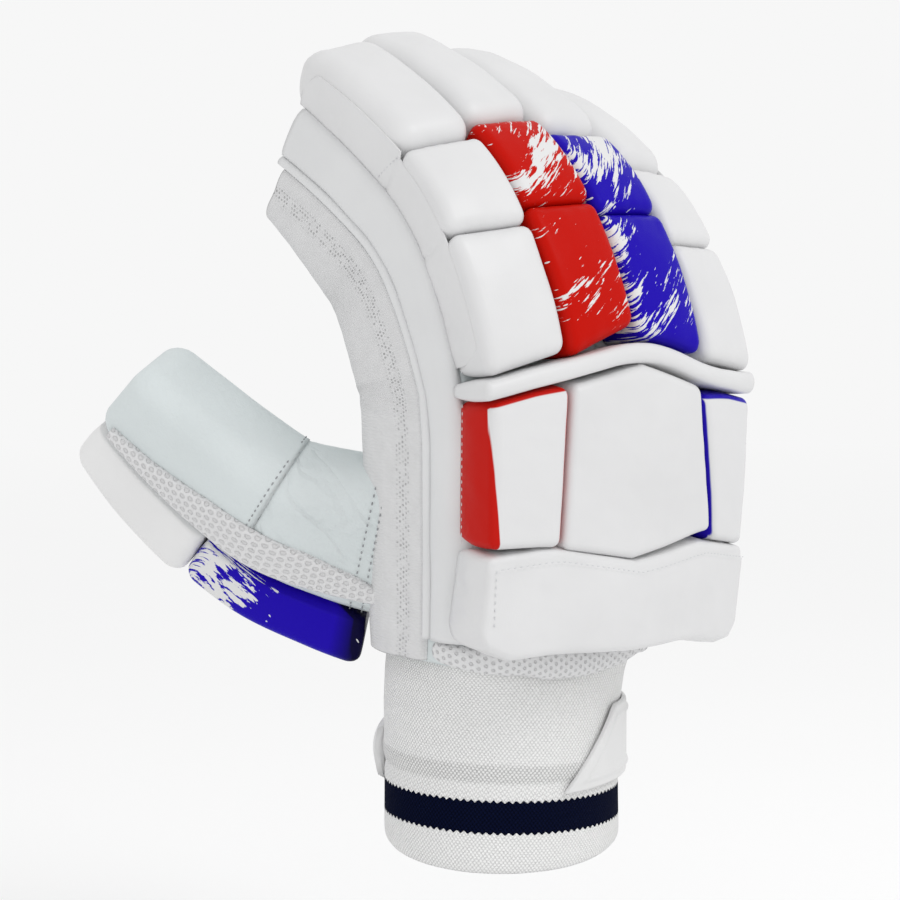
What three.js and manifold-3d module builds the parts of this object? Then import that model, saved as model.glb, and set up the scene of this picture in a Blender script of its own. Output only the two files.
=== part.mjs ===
// Cricket batting glove for the right hand, in the shape it has on a hand, fingers up.
// Millimetres, +Z up. The origin is the middle of the wrist opening. The back of the hand
// faces -Y, the palm +Y and the thumb points towards -X.
//
// Five rays run through the glove, one for each finger and one for the thumb. A ray is the
// line along the padded face of its leather stall, with a frame at every station: T along
// it towards the tip, N out of the padded face and B across. Stalls, rolls, bars and the
// hand between the fingers take their places from these rays.
import * as THREE from "three";
import { mergeVertices } from "three/addons/utils/BufferGeometryUtils.js";
import Module from "manifold-3d";

const wasm = await Module();
wasm.setup();

// Driving sizes
const LEATHER = 2; // wall of hand, stalls and thumb
const SEAT = 0.5; // clearance between a piece and what it is sewn to
const ROLL_GAP = 0.6; // between neighbouring rolls along a finger
const ROLL_ROUND = 3.6; // of a roll's edges
const TIP_ROUND = 7; // and of a tip roll's
const ROLL_CROWN = 1.5; // the middle of its face stands out by this
const TIP_CROWN = 2;
const ROLL_FLARE = 0.0025; // a roll grows wider by this share for each millimetre of height
const KNUCKLE = 162; // height of the knuckle line, where the stalls begin
const HAND_FOOT = 71; // height of the hand's lower rim
const CUFF_WIDTH = 92;
const CUFF_DEPTH = 68;
const KNIT = 3; // wall of the knitted cuff
const HEM_SIDE_RISE = 2.8; // the hem is this much higher on the thumb side
const HEM_PALM_RISE = 2.3; // and this much on the palm side
const HEM_DROP = 4.5; // the lower edge rises by this from the side seen first to the middle
const STRIPE_BOTTOM = 13.5;
const STRIPE_HEIGHT = 10.7;
const FINGER_DEPTH = 48; // stall, from the back to the palm side, at the knuckle
const TIP_DEPTH = 42;
const PALM_ARCH = 4; // hollow of the palm below the fingers
const WRIST_DEPTH = 62;
const BACK_PAD = 19; // thickness of the back pads
const BACK_PAD_ROUND = 4; // of the edges round their faces
const WRIST_PAD = 20;
const WELT_WIDTH = 5;
const WELT_HEIGHT = 20;
const BAR_THICK = 3.4;
const BAR_RUN = 80; // of the side bars, down the hand from the knuckle line
const BAR_OVER = 3.2; // of them, round the corner to the back
const MESH_THICK = 2.2;
const PIPING = 2.6; // diameter of the piping between bar and mesh
const TRIM_THICK = 3.2; // of the mesh below the wrist panel
const STRAP_BOTTOM = 25.5;
const STRAP_HEIGHT = 24;
const STRAP_THICK = 2;
const TAB_THICK = 1.7;
const TIP_PAD = 46; // length of the thumb's tip pad, back from its tip
const THUMB_SEAM = 55; // along the thumb, where its web ends and its stall begins

// Where each finger's ray stands at the knuckle line and at the hand's lower rim, its
// length past the knuckle line, its width, where its first roll starts and by how much
// more on its +X side, how far it leans to the palm at the knuckle line and curls along
// its base roll, and how far its frame is turned about its own line at either end of the
// hand.
const FINGERS = [
  {
    name: "index", x: -40, y: -36, footX: -30, footY: -32, length: 120, width: 29.8,
    start: 5, slant: 3, lean: 9.5, curl: 18, twist: -13, footTwist: -12,
  },
  {
    name: "middle", x: -10, y: -40.5, footX: -9, footY: -35, length: 132.5, width: 29.2,
    start: 10.3, slant: 6, lean: 10.5, curl: 21, twist: -6, footTwist: -5,
  },
  {
    name: "ring", x: 20, y: -42, footX: 12, footY: -35, length: 127.5, width: 29.4,
    start: 8.2, slant: -7.5, lean: 10.5, curl: 21, twist: 0, footTwist: 4,
  },
  {
    name: "little", x: 49.4, y: -39, footX: 31.5, footY: -32, length: 109, width: 27.6,
    start: 1.4, slant: -3, lean: 10.5, curl: 18, twist: 8, footTwist: 12,
  },
];

const FINGER_SPACING = 28; // the back runs on by this past its outer rays
const DRIFT = 0.1; // of all fingers towards -X where they leave the hand

// The three rolls of a finger: where they start and end as shares of its rolled length,
// how far the ray curls along them (the base roll's curl is the finger's own), and their
// thickness at either end.
const ROLLS = [
  { name: "base", from: 0, to: 0.337, thick: 18.5, tipThick: 18 },
  { name: "mid", from: 0.337, to: 0.592, curl: 22, thick: 18, tipThick: 17.5 },
  { name: "tip", from: 0.592, to: 1.085, curl: 11, thick: 20, tipThick: 16.5 },
];

// Section of the hand and its stalls along a ray: share is -1 at the hand's lower rim, 0 at
// the knuckle line and 1 at the fingertip; back and palm are corner radii.
const SECTIONS = [
  { share: -1, depth: WRIST_DEPTH, back: 13, palm: 30 },
  { share: -0.55, depth: 56, back: 8, palm: 22 },
  { share: -0.2, depth: 51, back: 4.5, palm: 14 },
  { share: 0, depth: FINGER_DEPTH, back: 4, palm: 10.5 },
  { share: 0.6, depth: FINGER_DEPTH - 1, back: 4, palm: 10 },
  { share: 1, depth: TIP_DEPTH, back: 4, palm: 9 },
];

// Middle line of the thumb from inside the hand to its tip, with its section there.
const THUMB = [
  { x: -26, y: 7, z: 108, width: 30, depth: 56, back: 12, palm: 15 },
  { x: -36, y: 17.5, z: 110, width: 31, depth: 54, back: 11, palm: 15 },
  { x: -48, y: 30, z: 114, width: 33, depth: 48, back: 9, palm: 14 },
  { x: -60, y: 42, z: 120, width: 35, depth: 42, back: 7, palm: 13 },
  { x: -71.6, y: 55.1, z: 132.5, width: 36, depth: 37, back: 6, palm: 11 },
  { x: -82.2, y: 67.4, z: 146.5, width: 35, depth: 34, back: 6, palm: 10 },
  { x: -90.4, y: 77, z: 158.5, width: 33, depth: 30, back: 6, palm: 9 },
];
const THUMB_ACROSS = new THREE.Vector3(-0.81, -0.34, -0.44);
const THUMB_TWIST = 15; // of its frame at its root, degrees

const rad = THREE.MathUtils.degToRad;
const lerp = THREE.MathUtils.lerp;
const clamp = THREE.MathUtils.clamp;

// Value of a table's column at a share, straight between its rows.
function column(table, key, name, at) {
  let i = 1;
  while (i < table.length - 1 && table[i][key] < at) i++;
  const [a, b] = [table[i - 1], table[i]];
  return lerp(a[name], b[name], clamp((at - a[key]) / (b[key] - a[key]), 0, 1));
}

// Point at u from 0 to 1 along a list of [u, ...values] rows.
function along(rows, u) {
  let i = 1;
  while (i < rows.length - 1 && rows[i][0] < u) i++;
  const t = clamp((u - rows[i - 1][0]) / (rows[i][0] - rows[i - 1][0]), 0, 1);
  return rows[i].slice(1).map((v, k) => lerp(rows[i - 1][k + 1], v, t));
}

// Rays
const STEP = 2; // spacing of the stations that a ray is worked out at

// Frames along a line of points, the first of them at s = first. D is the way in to the
// palm side: against N, and on the fingers turned back square to the hand.
function frameAlong(points, first, across, twistAt, square) {
  const frames = points.map((p, i) => {
    const reach = 5; // stations either side that a direction is taken over
    const a = points[Math.max(0, i - reach)];
    const b = points[Math.min(points.length - 1, i + reach)];
    const T = b.clone().sub(a).normalize();
    const turn = rad(twistAt(first + i * STEP));
    const B = across.clone().addScaledVector(T, -across.dot(T)).normalize().applyAxisAngle(T, turn);
    const N = B.clone().cross(T);
    const D = N.clone().negate().addScaledVector(B, square ? Math.tan(turn) : 0);
    return { P: p, T, B, N, D };
  });
  return (s) => {
    const t = clamp((s - first) / STEP, 0, frames.length - 1.0001);
    const i = Math.floor(t);
    const mix = (k) => frames[i][k].clone().lerp(frames[i + 1][k], t - i);
    const over = s - first - t * STEP; // past either end the ray runs on straight
    const T = mix("T").normalize();
    return { P: mix("P").addScaledVector(T, over), T, B: mix("B"), N: mix("N"), D: mix("D") };
  };
}

function fingerRay(f) {
  const knuckle = new THREE.Vector3(f.x, f.y, KNUCKLE);
  const foot = new THREE.Vector3(f.footX, f.footY, HAND_FOOT);
  const down = foot.clone().sub(knuckle);
  const handLength = down.length();
  down.normalize();
  const points = [knuckle.clone()];
  const below = Math.ceil((handLength + 10) / STEP);
  for (let i = 1; i <= below; i++) points.unshift(knuckle.clone().addScaledVector(down, i * STEP));
  const p = knuckle.clone();
  const stations = ROLLS.map((r) => ({ curl: r.curl ?? f.curl, from: rollAt(f, r.from), to: rollAt(f, r.to) }));
  for (let s = STEP / 2; s < f.length + 6; s += STEP) {
    let pitch = f.lean;
    for (const r of stations) pitch += r.curl * clamp((s - r.from) / (r.to - r.from), 0, 1);
    const drift = -DRIFT * clamp(1 - (s - stations[0].from) / (stations[0].to - stations[0].from), 0, 1);
    p.add(new THREE.Vector3(drift, Math.sin(rad(pitch)), Math.cos(rad(pitch))).multiplyScalar(STEP));
    points.push(p.clone());
  }
  const twistAt = (s) => lerp(f.twist, f.footTwist, clamp(-s / handLength, 0, 1));
  const section = (s) => {
    const share = s < 0 ? s / handLength : s / f.length;
    const read = (name) => column(SECTIONS, "share", name, share);
    return { width: f.width, depth: read("depth"), back: read("back"), palm: read("palm") };
  };
  const at = frameAlong(points, -below * STEP, new THREE.Vector3(1, 0, 0), twistAt, true);
  const atHeight = (z) => at((z - KNUCKLE) / -down.z);
  return { ...f, handLength, at, atHeight, section };
}

function rollAt(f, share) {
  return f.start + share * (f.length - f.start);
}

function thumbRay() {
  const curve = new THREE.CatmullRomCurve3(THUMB.map((r) => new THREE.Vector3(r.x, r.y, r.z)));
  const length = curve.getLength();
  const count = Math.round(length / STEP);
  const rows = THUMB.map((r, i) => ({ ...r, s: (length * i) / (THUMB.length - 1) }));
  const twistAt = (s) => lerp(THUMB_TWIST, 0, clamp(s / THUMB_SEAM, 0, 1));
  const middle = frameAlong(curve.getSpacedPoints(count), 0, THUMB_ACROSS, twistAt, false);
  const section = (s) => {
    const read = (name) => column(rows, "s", name, s);
    return { width: read("width"), depth: read("depth"), back: read("back"), palm: read("palm") };
  };
  const at = (s) => {
    const f = middle(s);
    f.P.addScaledVector(f.N, section(s).depth / 2);
    return f;
  };
  return { name: "thumb", length, at, section };
}

const rays = FINGERS.map(fingerRay);
const [index, , , little] = rays;
const thumb = thumbRay();

// A point on a section's left half, drawn in by inset. part is "palm", "flat" or "back",
// and t runs along it away from the flat side's middle. Returns [across, in].
function outlinePoint(section, part, t, inset) {
  const half = section.width / 2 - inset;
  const back = Math.max(section.back - inset, 0.5);
  const palm = Math.max(section.palm - inset, 1);
  const bottom = section.depth - inset;
  const a = (t * Math.PI) / 2;
  if (part === "flat") return [-half, lerp(inset + back, bottom - palm, t)];
  if (part === "back") return [-half + back - back * Math.cos(a), inset + back - back * Math.sin(a)];
  return [-half + palm - palm * Math.cos(a), bottom - palm + palm * Math.sin(a)];
}

const worldOf = (f, side, [across, deep]) =>
  f.P.clone().addScaledVector(f.B, -side * across).addScaledVector(f.D, deep);

// World point on the outer side of a ray, side -1 for its -B side and 1 for its +B side, u
// along the outline from the start of the flat side and lifted out by lift.
function onSide(ray, side, u, s, lift) {
  const { width, depth, back, palm } = ray.section(s);
  const half = width / 2;
  const flat = depth - back - palm;
  let place = [-half - lift, back + u];
  if (u < 0) {
    const a = -u / back;
    place = [-half + back - (back + lift) * Math.cos(a), back - (back + lift) * Math.sin(a)];
  }
  if (u > flat) {
    const a = (u - flat) / palm;
    place = [-half + palm - (palm + lift) * Math.cos(a), back + flat + (palm + lift) * Math.sin(a)];
  }
  return worldOf(ray.at(s), side, place);
}

// World point on the back of the hand at x across and z up, and h out of it.
function onBack(x, z, h) {
  const fs = rays.map((r) => r.atHeight(z));
  const [first, last] = [fs[0], fs[3]];
  if (x <= first.P.x || x >= last.P.x) {
    const f = x <= first.P.x ? first : last;
    return f.P.clone().addScaledVector(f.B, (x - f.P.x) / f.B.x).addScaledVector(f.N, h);
  }
  let i = 0;
  while (i < 2 && x > fs[i + 1].P.x) i++;
  const t = (x - fs[i].P.x) / (fs[i + 1].P.x - fs[i].P.x);
  const p = [-1, 0, 1, 2].map((k) => {
    const f = fs[i + k];
    if (f) return f.P;
    const [end, way] = i + k < 0 ? [first, -1] : [last, 1];
    return end.P.clone().addScaledVector(end.B, way * FINGER_SPACING);
  });
  const bend = (k) =>
    p[1][k] + 0.5 * t * (p[2][k] - p[0][k] +
      t * (2 * p[0][k] - 5 * p[1][k] + 4 * p[2][k] - p[3][k] +
      t * (3 * p[1][k] - p[0][k] - 3 * p[2][k] + p[3][k])));
  const N = fs[i].N.clone().lerp(fs[i + 1].N, t).normalize();
  return new THREE.Vector3(x, bend("y"), bend("z")).addScaledVector(N, h);
}

// Closed bodies from rings of points: walls between neighbouring rings of equal length,
// with a fan over each end or a wall from the last ring back to the first.
function loft(rings, closed = false) {
  const n = rings[0].length;
  const positions = rings.flat().flatMap((p) => [p.x, p.y, p.z]);
  const faces = [];
  const rows = closed ? rings.length : rings.length - 1;
  for (let i = 0; i < rows; i++) {
    const [r0, r1] = [i * n, ((i + 1) % rings.length) * n];
    for (let j = 0; j < n; j++) {
      const k = (j + 1) % n;
      faces.push(r0 + j, r0 + k, r1 + k, r0 + j, r1 + k, r1 + j);
    }
  }
  if (!closed) {
    for (const row of [0, rings.length - 1]) {
      const middle = rings[row].reduce((m, p) => m.add(p), new THREE.Vector3()).divideScalar(n);
      positions.push(middle.x, middle.y, middle.z);
      const hub = positions.length / 3 - 1;
      for (let j = 0; j < n; j++) {
        const [a, b] = [row * n + j, row * n + ((j + 1) % n)];
        faces.push(...(row === 0 ? [hub, b, a] : [hub, a, b]));
      }
    }
  }
  return facingOut(positions, faces);
}

function facingOut(positions, faces) {
  const g = new THREE.BufferGeometry();
  g.setAttribute("position", new THREE.Float32BufferAttribute(positions, 3));
  const at = (i) => new THREE.Vector3().fromArray(positions, 3 * i);
  let volume = 0;
  for (let i = 0; i < faces.length; i += 3) {
    volume += at(faces[i]).dot(at(faces[i + 1]).cross(at(faces[i + 2])));
  }
  if (volume < 0) faces.reverse();
  g.setIndex(faces);
  return g;
}

// Where a pad's grid lines lie along one side: close together over the rounded edges.
function gridLines(length, round, inner) {
  const edge = [0, 0.3 * round, round].map((d) => d / length);
  const lines = [...edge];
  for (let i = 1; i < inner; i++) lines.push(lerp(edge[2], 1 - edge[2], i / inner));
  return [...lines, ...edge.map((e) => 1 - e).reverse()];
}

// A stuffed pad. at(u, v) gives its outline's [across, along] for u and v from 0 to 1, and
// place(across, along, height) the world point. Its edges and corners are rounded, its
// middle is crowned, its foot drawn in and its side walls swell by belly.
function pad({ at, place, width, length, thick, round, crown = 0, foot = 0.6, belly = 0.4, cells }) {
  const us = gridLines(width, round, cells[0]);
  const vs = gridLines(length, round, cells[1]);
  const [nu, nv] = [us.length, vs.length];
  const edgeShare = (t, size) => (t < 0.5 ? -1 : 1) * Math.max(0, 1 - (Math.min(t, 1 - t) * size) / round);
  const tall = typeof thick === "function" ? thick : () => thick;
  const shape = (i, j) => {
    const [u, v] = [us[i], vs[j]];
    const [ex, ey] = [edgeShare(u, width), edgeShare(v, length)];
    const fit = Math.max(Math.abs(ex), Math.abs(ey)) / (Math.hypot(ex, ey) || 1);
    const [rx, ry] = [ex * fit, ey * fit]; // square corners drawn in to quarter circles
    const e = Math.min(1, Math.hypot(rx, ry));
    const swell = crown * (1 - (2 * u - 1) ** 2) * (1 - (2 * v - 1) ** 2);
    const drop = round * (1 - Math.sqrt(Math.max(0, 1 - e * e)));
    const [across, along] = at(u + ((rx - ex) * round) / width, v + ((ry - ey) * round) / length);
    return { across, along, h: tall(u, v) - drop + swell, out: [rx / (e || 1), ry / (e || 1)], rim: e > 0.999 };
  };
  const positions = [];
  const put = (g, grow, h) => {
    const p = place(g.across + grow * g.out[0], g.along + grow * g.out[1], h);
    positions.push(p.x, p.y, p.z);
    return positions.length / 3 - 1;
  };
  const [top, bottom] = [[], []];
  for (let j = 0; j < nv; j++) {
    for (let i = 0; i < nu; i++) {
      const g = shape(i, j);
      top.push(put(g, 0, g.h));
      bottom.push(put(g, g.rim ? -foot : 0, 0));
    }
  }
  const rim = [];
  for (let i = 0; i < nu; i++) rim.push([i, 0]);
  for (let j = 1; j < nv; j++) rim.push([nu - 1, j]);
  for (let i = nu - 2; i >= 0; i--) rim.push([i, nv - 1]);
  for (let j = nv - 2; j > 0; j--) rim.push([0, j]);
  const waist = rim.map(([i, j]) => put(shape(i, j), belly, shape(i, j).h * 0.5));
  const faces = [];
  const quad = (a, b, c, d) => faces.push(a, b, c, a, c, d);
  const id = (i, j) => j * nu + i;
  for (let j = 0; j < nv - 1; j++) {
    for (let i = 0; i < nu - 1; i++) {
      quad(top[id(i, j)], top[id(i + 1, j)], top[id(i + 1, j + 1)], top[id(i, j + 1)]);
      quad(bottom[id(i, j)], bottom[id(i, j + 1)], bottom[id(i + 1, j + 1)], bottom[id(i + 1, j)]);
    }
  }
  rim.forEach((cell, k) => {
    const next = (k + 1) % rim.length;
    const [here, there] = [id(...cell), id(...rim[next])];
    quad(waist[k], waist[next], top[there], top[here]);
    quad(bottom[here], bottom[there], waist[next], waist[k]);
  });
  return facingOut(positions, faces);
}

// A strip along a line: section(t) gives its cross-section's [over, out] points at t, and
// place(t, over, out) the world point.
function strip(stations, section, place) {
  return loft(stations.map((t) => section(t).map(([over, out]) => place(t, over, out))));
}

// Cross-section of a flat strip with rounded upper edges, from..to wide, standing on seat.
const flatSection = (from, to, seat, thick, edge) => [
  [from, seat],
  [to, seat],
  [to, seat + thick - edge],
  [to - edge, seat + thick],
  [(from + to) / 2, seat + thick],
  [from + edge, seat + thick],
  [from, seat + thick - edge],
];

function steps(from, to, count) {
  return Array.from({ length: count + 1 }, (_, i) => lerp(from, to, i / count));
}

// manifold-3d solids, for what is cut
function solid(geometry) {
  const g = mergeVertices(geometry, 1e-4);
  const mesh = new wasm.Mesh({
    numProp: 3,
    vertProperties: new Float32Array(g.attributes.position.array),
    triVerts: new Uint32Array(g.index.array),
  });
  return new wasm.Manifold(mesh);
}

function geometryOf(body) {
  const m = body.getMesh();
  const g = new THREE.BufferGeometry();
  g.setAttribute("position", new THREE.BufferAttribute(m.vertProperties, 3));
  g.setIndex(new THREE.BufferAttribute(m.triVerts, 1));
  return g;
}

// The hand: one tube round all four finger rays
const SIDE_MARKS = [
  ["palm", 1], ["palm", 0.75], ["palm", 0.5], ["palm", 0.25], ["palm", 0], ["flat", 0.5],
  ["back", 0], ["back", 0.5], ["back", 1],
];

function handRing(z, inset) {
  const frames = rays.map((r) => r.atHeight(z));
  const sAt = (r) => (r.atHeight(z).P.z - KNUCKLE) * (r.handLength / (KNUCKLE - HAND_FOOT));
  const side = (ray, k) =>
    SIDE_MARKS.map(([part, t]) =>
      worldOf(ray.atHeight(z), k, outlinePoint(ray.section(sAt(ray)), part, t, inset)));
  const back = steps(frames[0].P.x, frames[3].P.x, 6).map((x) => onBack(x, z, -inset));
  const [left, right] = [side(index, -1), side(little, 1).reverse()];
  const arch = PALM_ARCH * clamp((z - HAND_FOOT) / (KNUCKLE - HAND_FOOT), 0, 1);
  const palm = [0.8, 0.6, 0.4, 0.2].map((t) => {
    const p = left[0].clone().lerp(right.at(-1), t);
    p.y -= arch * Math.sin(Math.PI * t);
    return p;
  });
  return [...left, ...back, ...right, ...palm];
}

const HAND_HEIGHTS = [0, 0.12, 0.28, 0.46, 0.68, 0.91, 1].map((t) => lerp(KNUCKLE - 0.9, HAND_FOOT, t));

// Tubes of fingers and thumb
const TUBE_MARKS = [
  ["palm", 1], ["palm", 0.67], ["palm", 0.33], ["palm", 0], ["back", 0], ["back", 0.8],
];

function tubeRing(ray, s, inset) {
  const side = (k) =>
    TUBE_MARKS.map(([part, t]) => worldOf(ray.at(s), k, outlinePoint(ray.section(s), part, t, inset)));
  return [...side(-1), ...side(1).reverse()];
}

// A stall from its mouth at s = mouth, through the stations given, to a rounded end.
function stall(ray, mouth, stations, end) {
  const tip = [[-5, 0], [-1.4, 1.6], [0, 5]];
  const outer = [mouth, ...stations].map((s) => tubeRing(ray, s, 0));
  const inner = [mouth, ...stations].map((s) => tubeRing(ray, s, LEATHER));
  const cap = tip.map(([ds, inset]) => tubeRing(ray, end + ds, inset));
  const innerCap = tip.map(([ds, inset]) => tubeRing(ray, end + ds - LEATHER, inset + LEATHER));
  return loft([...cap.reverse(), ...outer.reverse(), ...inner, ...innerCap]);
}

// A roll or pad on a ray's padded face, from s = from to s = to.
function rollOn(ray, { from, to, slant = 0, width, thick, tipThick, round, crown, cells }) {
  const length = to - from;
  const place = (x, s, h) => {
    const { P, B, N } = ray.at(s);
    return P.clone().addScaledVector(B, x * (1 + ROLL_FLARE * h)).addScaledVector(N, h + SEAT);
  };
  return pad({
    at: (u, v) => [(u - 0.5) * width(from + v * length), from + v * length + slant * (u - 0.5) * (1 - v)],
    place,
    width: width((from + to) / 2),
    length,
    thick: (u, v) => lerp(thick, tipThick, v ** 1.6),
    round,
    crown,
    belly: 0.1,
    cells,
  });
}

// Materials
const coat = (color, roughness) => new THREE.MeshStandardMaterial({ color, roughness, metalness: 0 });
const materials = {
  leather: () => coat("#dfe5e5", 0.6),
  padding: () => coat("#f0f0f0", 0.45),
  red: () => coat("#cf1405", 0.4),
  blue: () => coat("#1f0bb5", 0.4),
  mesh: () => coat("#ececec", 0.9),
  knit: () => coat("#e4e4e2", 0.95),
  navy: () => coat("#0b1030", 0.95),
  tab: () => coat("#eeeeee", 0.5),
};
const glove = new THREE.Group();
function add(name, geometry, material) {
  const mesh = new THREE.Mesh(geometry, materials[material]());
  mesh.name = name;
  glove.add(mesh);
}

// Fingers
const RED_ROLLS = ["middle_base_roll", "middle_mid_roll"];
const BLUE_ROLLS = ["ring_base_roll", "ring_mid_roll"];
for (const ray of rays) {
  const stations = [0.25, 0.42, 0.58, 0.78].map((t) => t * ray.length);
  add(`${ray.name}_stall`, stall(ray, 0.9, stations, ray.length + 1), "leather");
  for (const r of ROLLS) {
    const name = `${ray.name}_${r.name}_roll`;
    const colour = RED_ROLLS.includes(name) ? "red" : BLUE_ROLLS.includes(name) ? "blue" : "padding";
    const isTip = r.name === "tip";
    const from = rollAt(ray, r.from) + ROLL_GAP / 2;
    const to = rollAt(ray, r.to) - ROLL_GAP / 2;
    const [round, crown] = isTip ? [TIP_ROUND, TIP_CROWN] : [ROLL_ROUND, ROLL_CROWN];
    const shape = { width: () => ray.width, round, crown, cells: [2, 3] };
    const slant = r.name === "base" ? ray.slant : 0;
    add(name, rollOn(ray, { ...shape, from, to, slant, thick: r.thick, tipThick: r.tipThick }), colour);
  }
}

// Width of the side mesh by the share of the finger's length past the knuckle line
const MESH_WIDTHS = [
  { share: -0.25, width: 15 },
  { share: 0.1, width: 19 },
  { share: 0.6, width: 18 },
  { share: 1, width: 14 },
];

// Side bars, piping and mesh strips of the two outer fingers
for (const [ray, side] of [[index, -1], [little, 1]]) {
  const stations = [-BAR_RUN, -60, -30, 0, 14, 28, 42, 54, 66, 80, 100, ray.length];
  const trimmed = stations.filter((s, i) => i === stations.length - 1 || s < ray.length - 8);
  const barEnd = (s) => lerp(5, 14, clamp((s + BAR_RUN) / (ray.length + BAR_RUN), 0, 1));
  const place = (s, u, lift) => onSide(ray, side, u, s, lift);
  const bar = (s) => {
    const [start, ...rest] = flatSection(-BAR_OVER, barEnd(s) - SEAT, SEAT, BAR_THICK, 1.8);
    return [[-BAR_OVER / 2, SEAT], [0, SEAT], ...rest, start];
  };
  add(`${ray.name}_side_bar`, strip(trimmed, bar, place), "padding");
  const pipe = (s) => steps(0, 5, 5).map((i) => {
    const a = (i * Math.PI) / 3;
    const r = PIPING / 2;
    return [barEnd(s) + r + r * Math.cos(a), SEAT + r + r * Math.sin(a)];
  });
  add(`${ray.name}_piping`, strip(trimmed, pipe, place), "padding");
  const meshFrom = (s) => barEnd(s) + PIPING + SEAT;
  const meshTo = (s) => meshFrom(s) + column(MESH_WIDTHS, "share", "width", s / ray.length);
  const mesh = (s) => flatSection(meshFrom(s), meshTo(s), SEAT + 0.2, MESH_THICK, 1);
  add(`${ray.name}_mesh_strip`, strip([-BAR_RUN - 8, ...trimmed.slice(1, -1), ray.length - 4], mesh, place), "mesh");
}

// Pads on the back of the hand. Their lower and upper edges are rows of [u, over, up]: u runs
// from 0 to 1 along the edge, over is the share of the way from the index finger's ray to
// the little finger's at the knuckles, and up that from the hand's lower rim to the knuckles.
const handHeight = (share) => lerp(HAND_FOOT, KNUCKLE, share);
const handPlace = ([u, over, up]) => [u, lerp(FINGERS[0].x, FINGERS[3].x, over), handHeight(up)];
const placeBack = (x, z, h) => onBack(x, z, h + SEAT);
const between = (lower, upper) => (u, v) => {
  const [a, b] = [along(lower, u), along(upper, u)];
  return [lerp(a[0], b[0], v), lerp(a[1], b[1], v)];
};
const BACK_PADS = [
  {
    name: "index_back_pad", material: "padding", width: 22, length: 46, cells: [3, 4],
    lower: [[0, -0.145, 0.478], [1, 0.147, 0.443]], upper: [[0, -0.168, 0.967], [1, 0.152, 0.991]],
  },
  {
    name: "middle_back_pad", material: "padding", width: 68, length: 52, cells: [6, 4],
    lower: [[0, 0.157, 0.435], [0.46, 0.475, 0.377], [1, 0.928, 0.448]],
    upper: [[0, 0.162, 0.991], [0.52, 0.492, 1.044], [1, 0.794, 0.967]],
  },
  {
    name: "little_back_pad", material: "padding", width: 25, length: 46, cells: [3, 4],
    lower: [[0, 0.956, 0.418], [1, 1.186, 0.418]], upper: [[0, 0.817, 0.94], [1, 1.147, 0.934]],
  },
  {
    name: "wrist_panel", material: "padding", width: 124, length: 33, cells: [8, 2], thick: WRIST_PAD,
    lower: [
      [0, -0.179, 0.143], [0.06, -0.123, 0.093], [0.5, 0.47, 0.044], [0.93, 1.119, 0.044], [1, 1.197, 0.11],
    ],
    upper: [
      [0, -0.185, 0.437], [0.26, 0.134, 0.424], [0.5, 0.492, 0.354], [0.76, 0.861, 0.391], [1, 1.202, 0.396],
    ],
  },
];
for (const p of BACK_PADS) {
  const at = between(p.lower.map(handPlace), p.upper.map(handPlace));
  const thick = p.thick ?? BACK_PAD;
  add(p.name, pad({ ...p, at, place: placeBack, thick, round: BACK_PAD_ROUND, crown: 1 }), p.material);
}

// Knuckle welt, along the upper edges of the back pads, in the same rows
const WELT = [
  [0, -0.201, 1.002], [0.23, 0.078, 1.022], [0.36, 0.268, 1.055], [0.5, 0.459, 1.081],
  [0.63, 0.638, 1.057], [0.76, 0.817, 0.998], [0.88, 1.007, 0.971], [1, 1.147, 0.974],
];
const weltEdge = (side) => WELT.map(handPlace).map(([u, x, z]) => [u, x, z + (side * WELT_WIDTH) / 2]);
add("knuckle_welt", pad({
  at: between(weltEdge(-1), weltEdge(1)), place: (x, z, h) => placeBack(x, z, h + 0.3),
  width: 128, length: WELT_WIDTH, thick: WELT_HEIGHT, round: WELT_WIDTH / 2.05, cells: [10, 1], foot: 0.3, belly: 0.1,
}), "padding");

// Perforated mesh trim below the wrist panel, from one side of the hand round to the other:
// t runs from -1 to 1, over the back up to BACK_END and round its corners to CORNER_END
const BACK_END = 0.7;
const CORNER_END = 0.85;
function roundHand(t, z, out) {
  const ray = t < 0 ? index : little;
  const side = Math.sign(t);
  if (Math.abs(t) < BACK_END) {
    const [a, b] = [index.atHeight(z).P.x, little.atHeight(z).P.x];
    return onBack(lerp(a, b, 0.5 + t / (2 * BACK_END)), z, out);
  }
  const onFlat = Math.abs(t) > CORNER_END;
  const share = (Math.abs(t) - (onFlat ? CORNER_END : BACK_END)) / (CORNER_END - BACK_END);
  const [part, mark] = onFlat ? ["flat", share * 0.4] : ["back", 1 - share];
  return worldOf(ray.atHeight(z), side, outlinePoint(ray.section(-ray.handLength), part, mark, -out));
}
// Its upper and lower edge in rows of [t, up]
const TRIM_TOP = [[-0.87, 0.093], [-0.6, 0.055], [0, 0.022], [0.6, 0.015], [0.8, 0.03]];
const TRIM_FOOT = [[-0.87, 0.022], [-0.7, -0.044], [-0.4, -0.077], [0, -0.088], [0.5, -0.071], [0.8, -0.03]];
add("wrist_mesh_trim", strip(
  [-0.87, -0.85, -0.775, -0.7, -0.45, -0.2, 0.1, 0.4, 0.7, 0.775, 0.8],
  (t) => {
    const [foot, top] = [TRIM_FOOT, TRIM_TOP].map((rows) => handHeight(along(rows, t)[0]));
    return flatSection(foot, top, SEAT, TRIM_THICK, 1.4);
  },
  roundHand,
), "mesh");

// Cuff
const hemRise = (p, z) => {
  const [x, y] = [p.x / (CUFF_WIDTH / 2), p.y / (CUFF_DEPTH / 2)];
  const drop = HEM_DROP * Math.max(0, 1 - z / STRIPE_BOTTOM);
  return z - HEM_SIDE_RISE * x + HEM_PALM_RISE * y + drop * (0.95 + (x + y) * Math.SQRT1_2);
};

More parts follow.
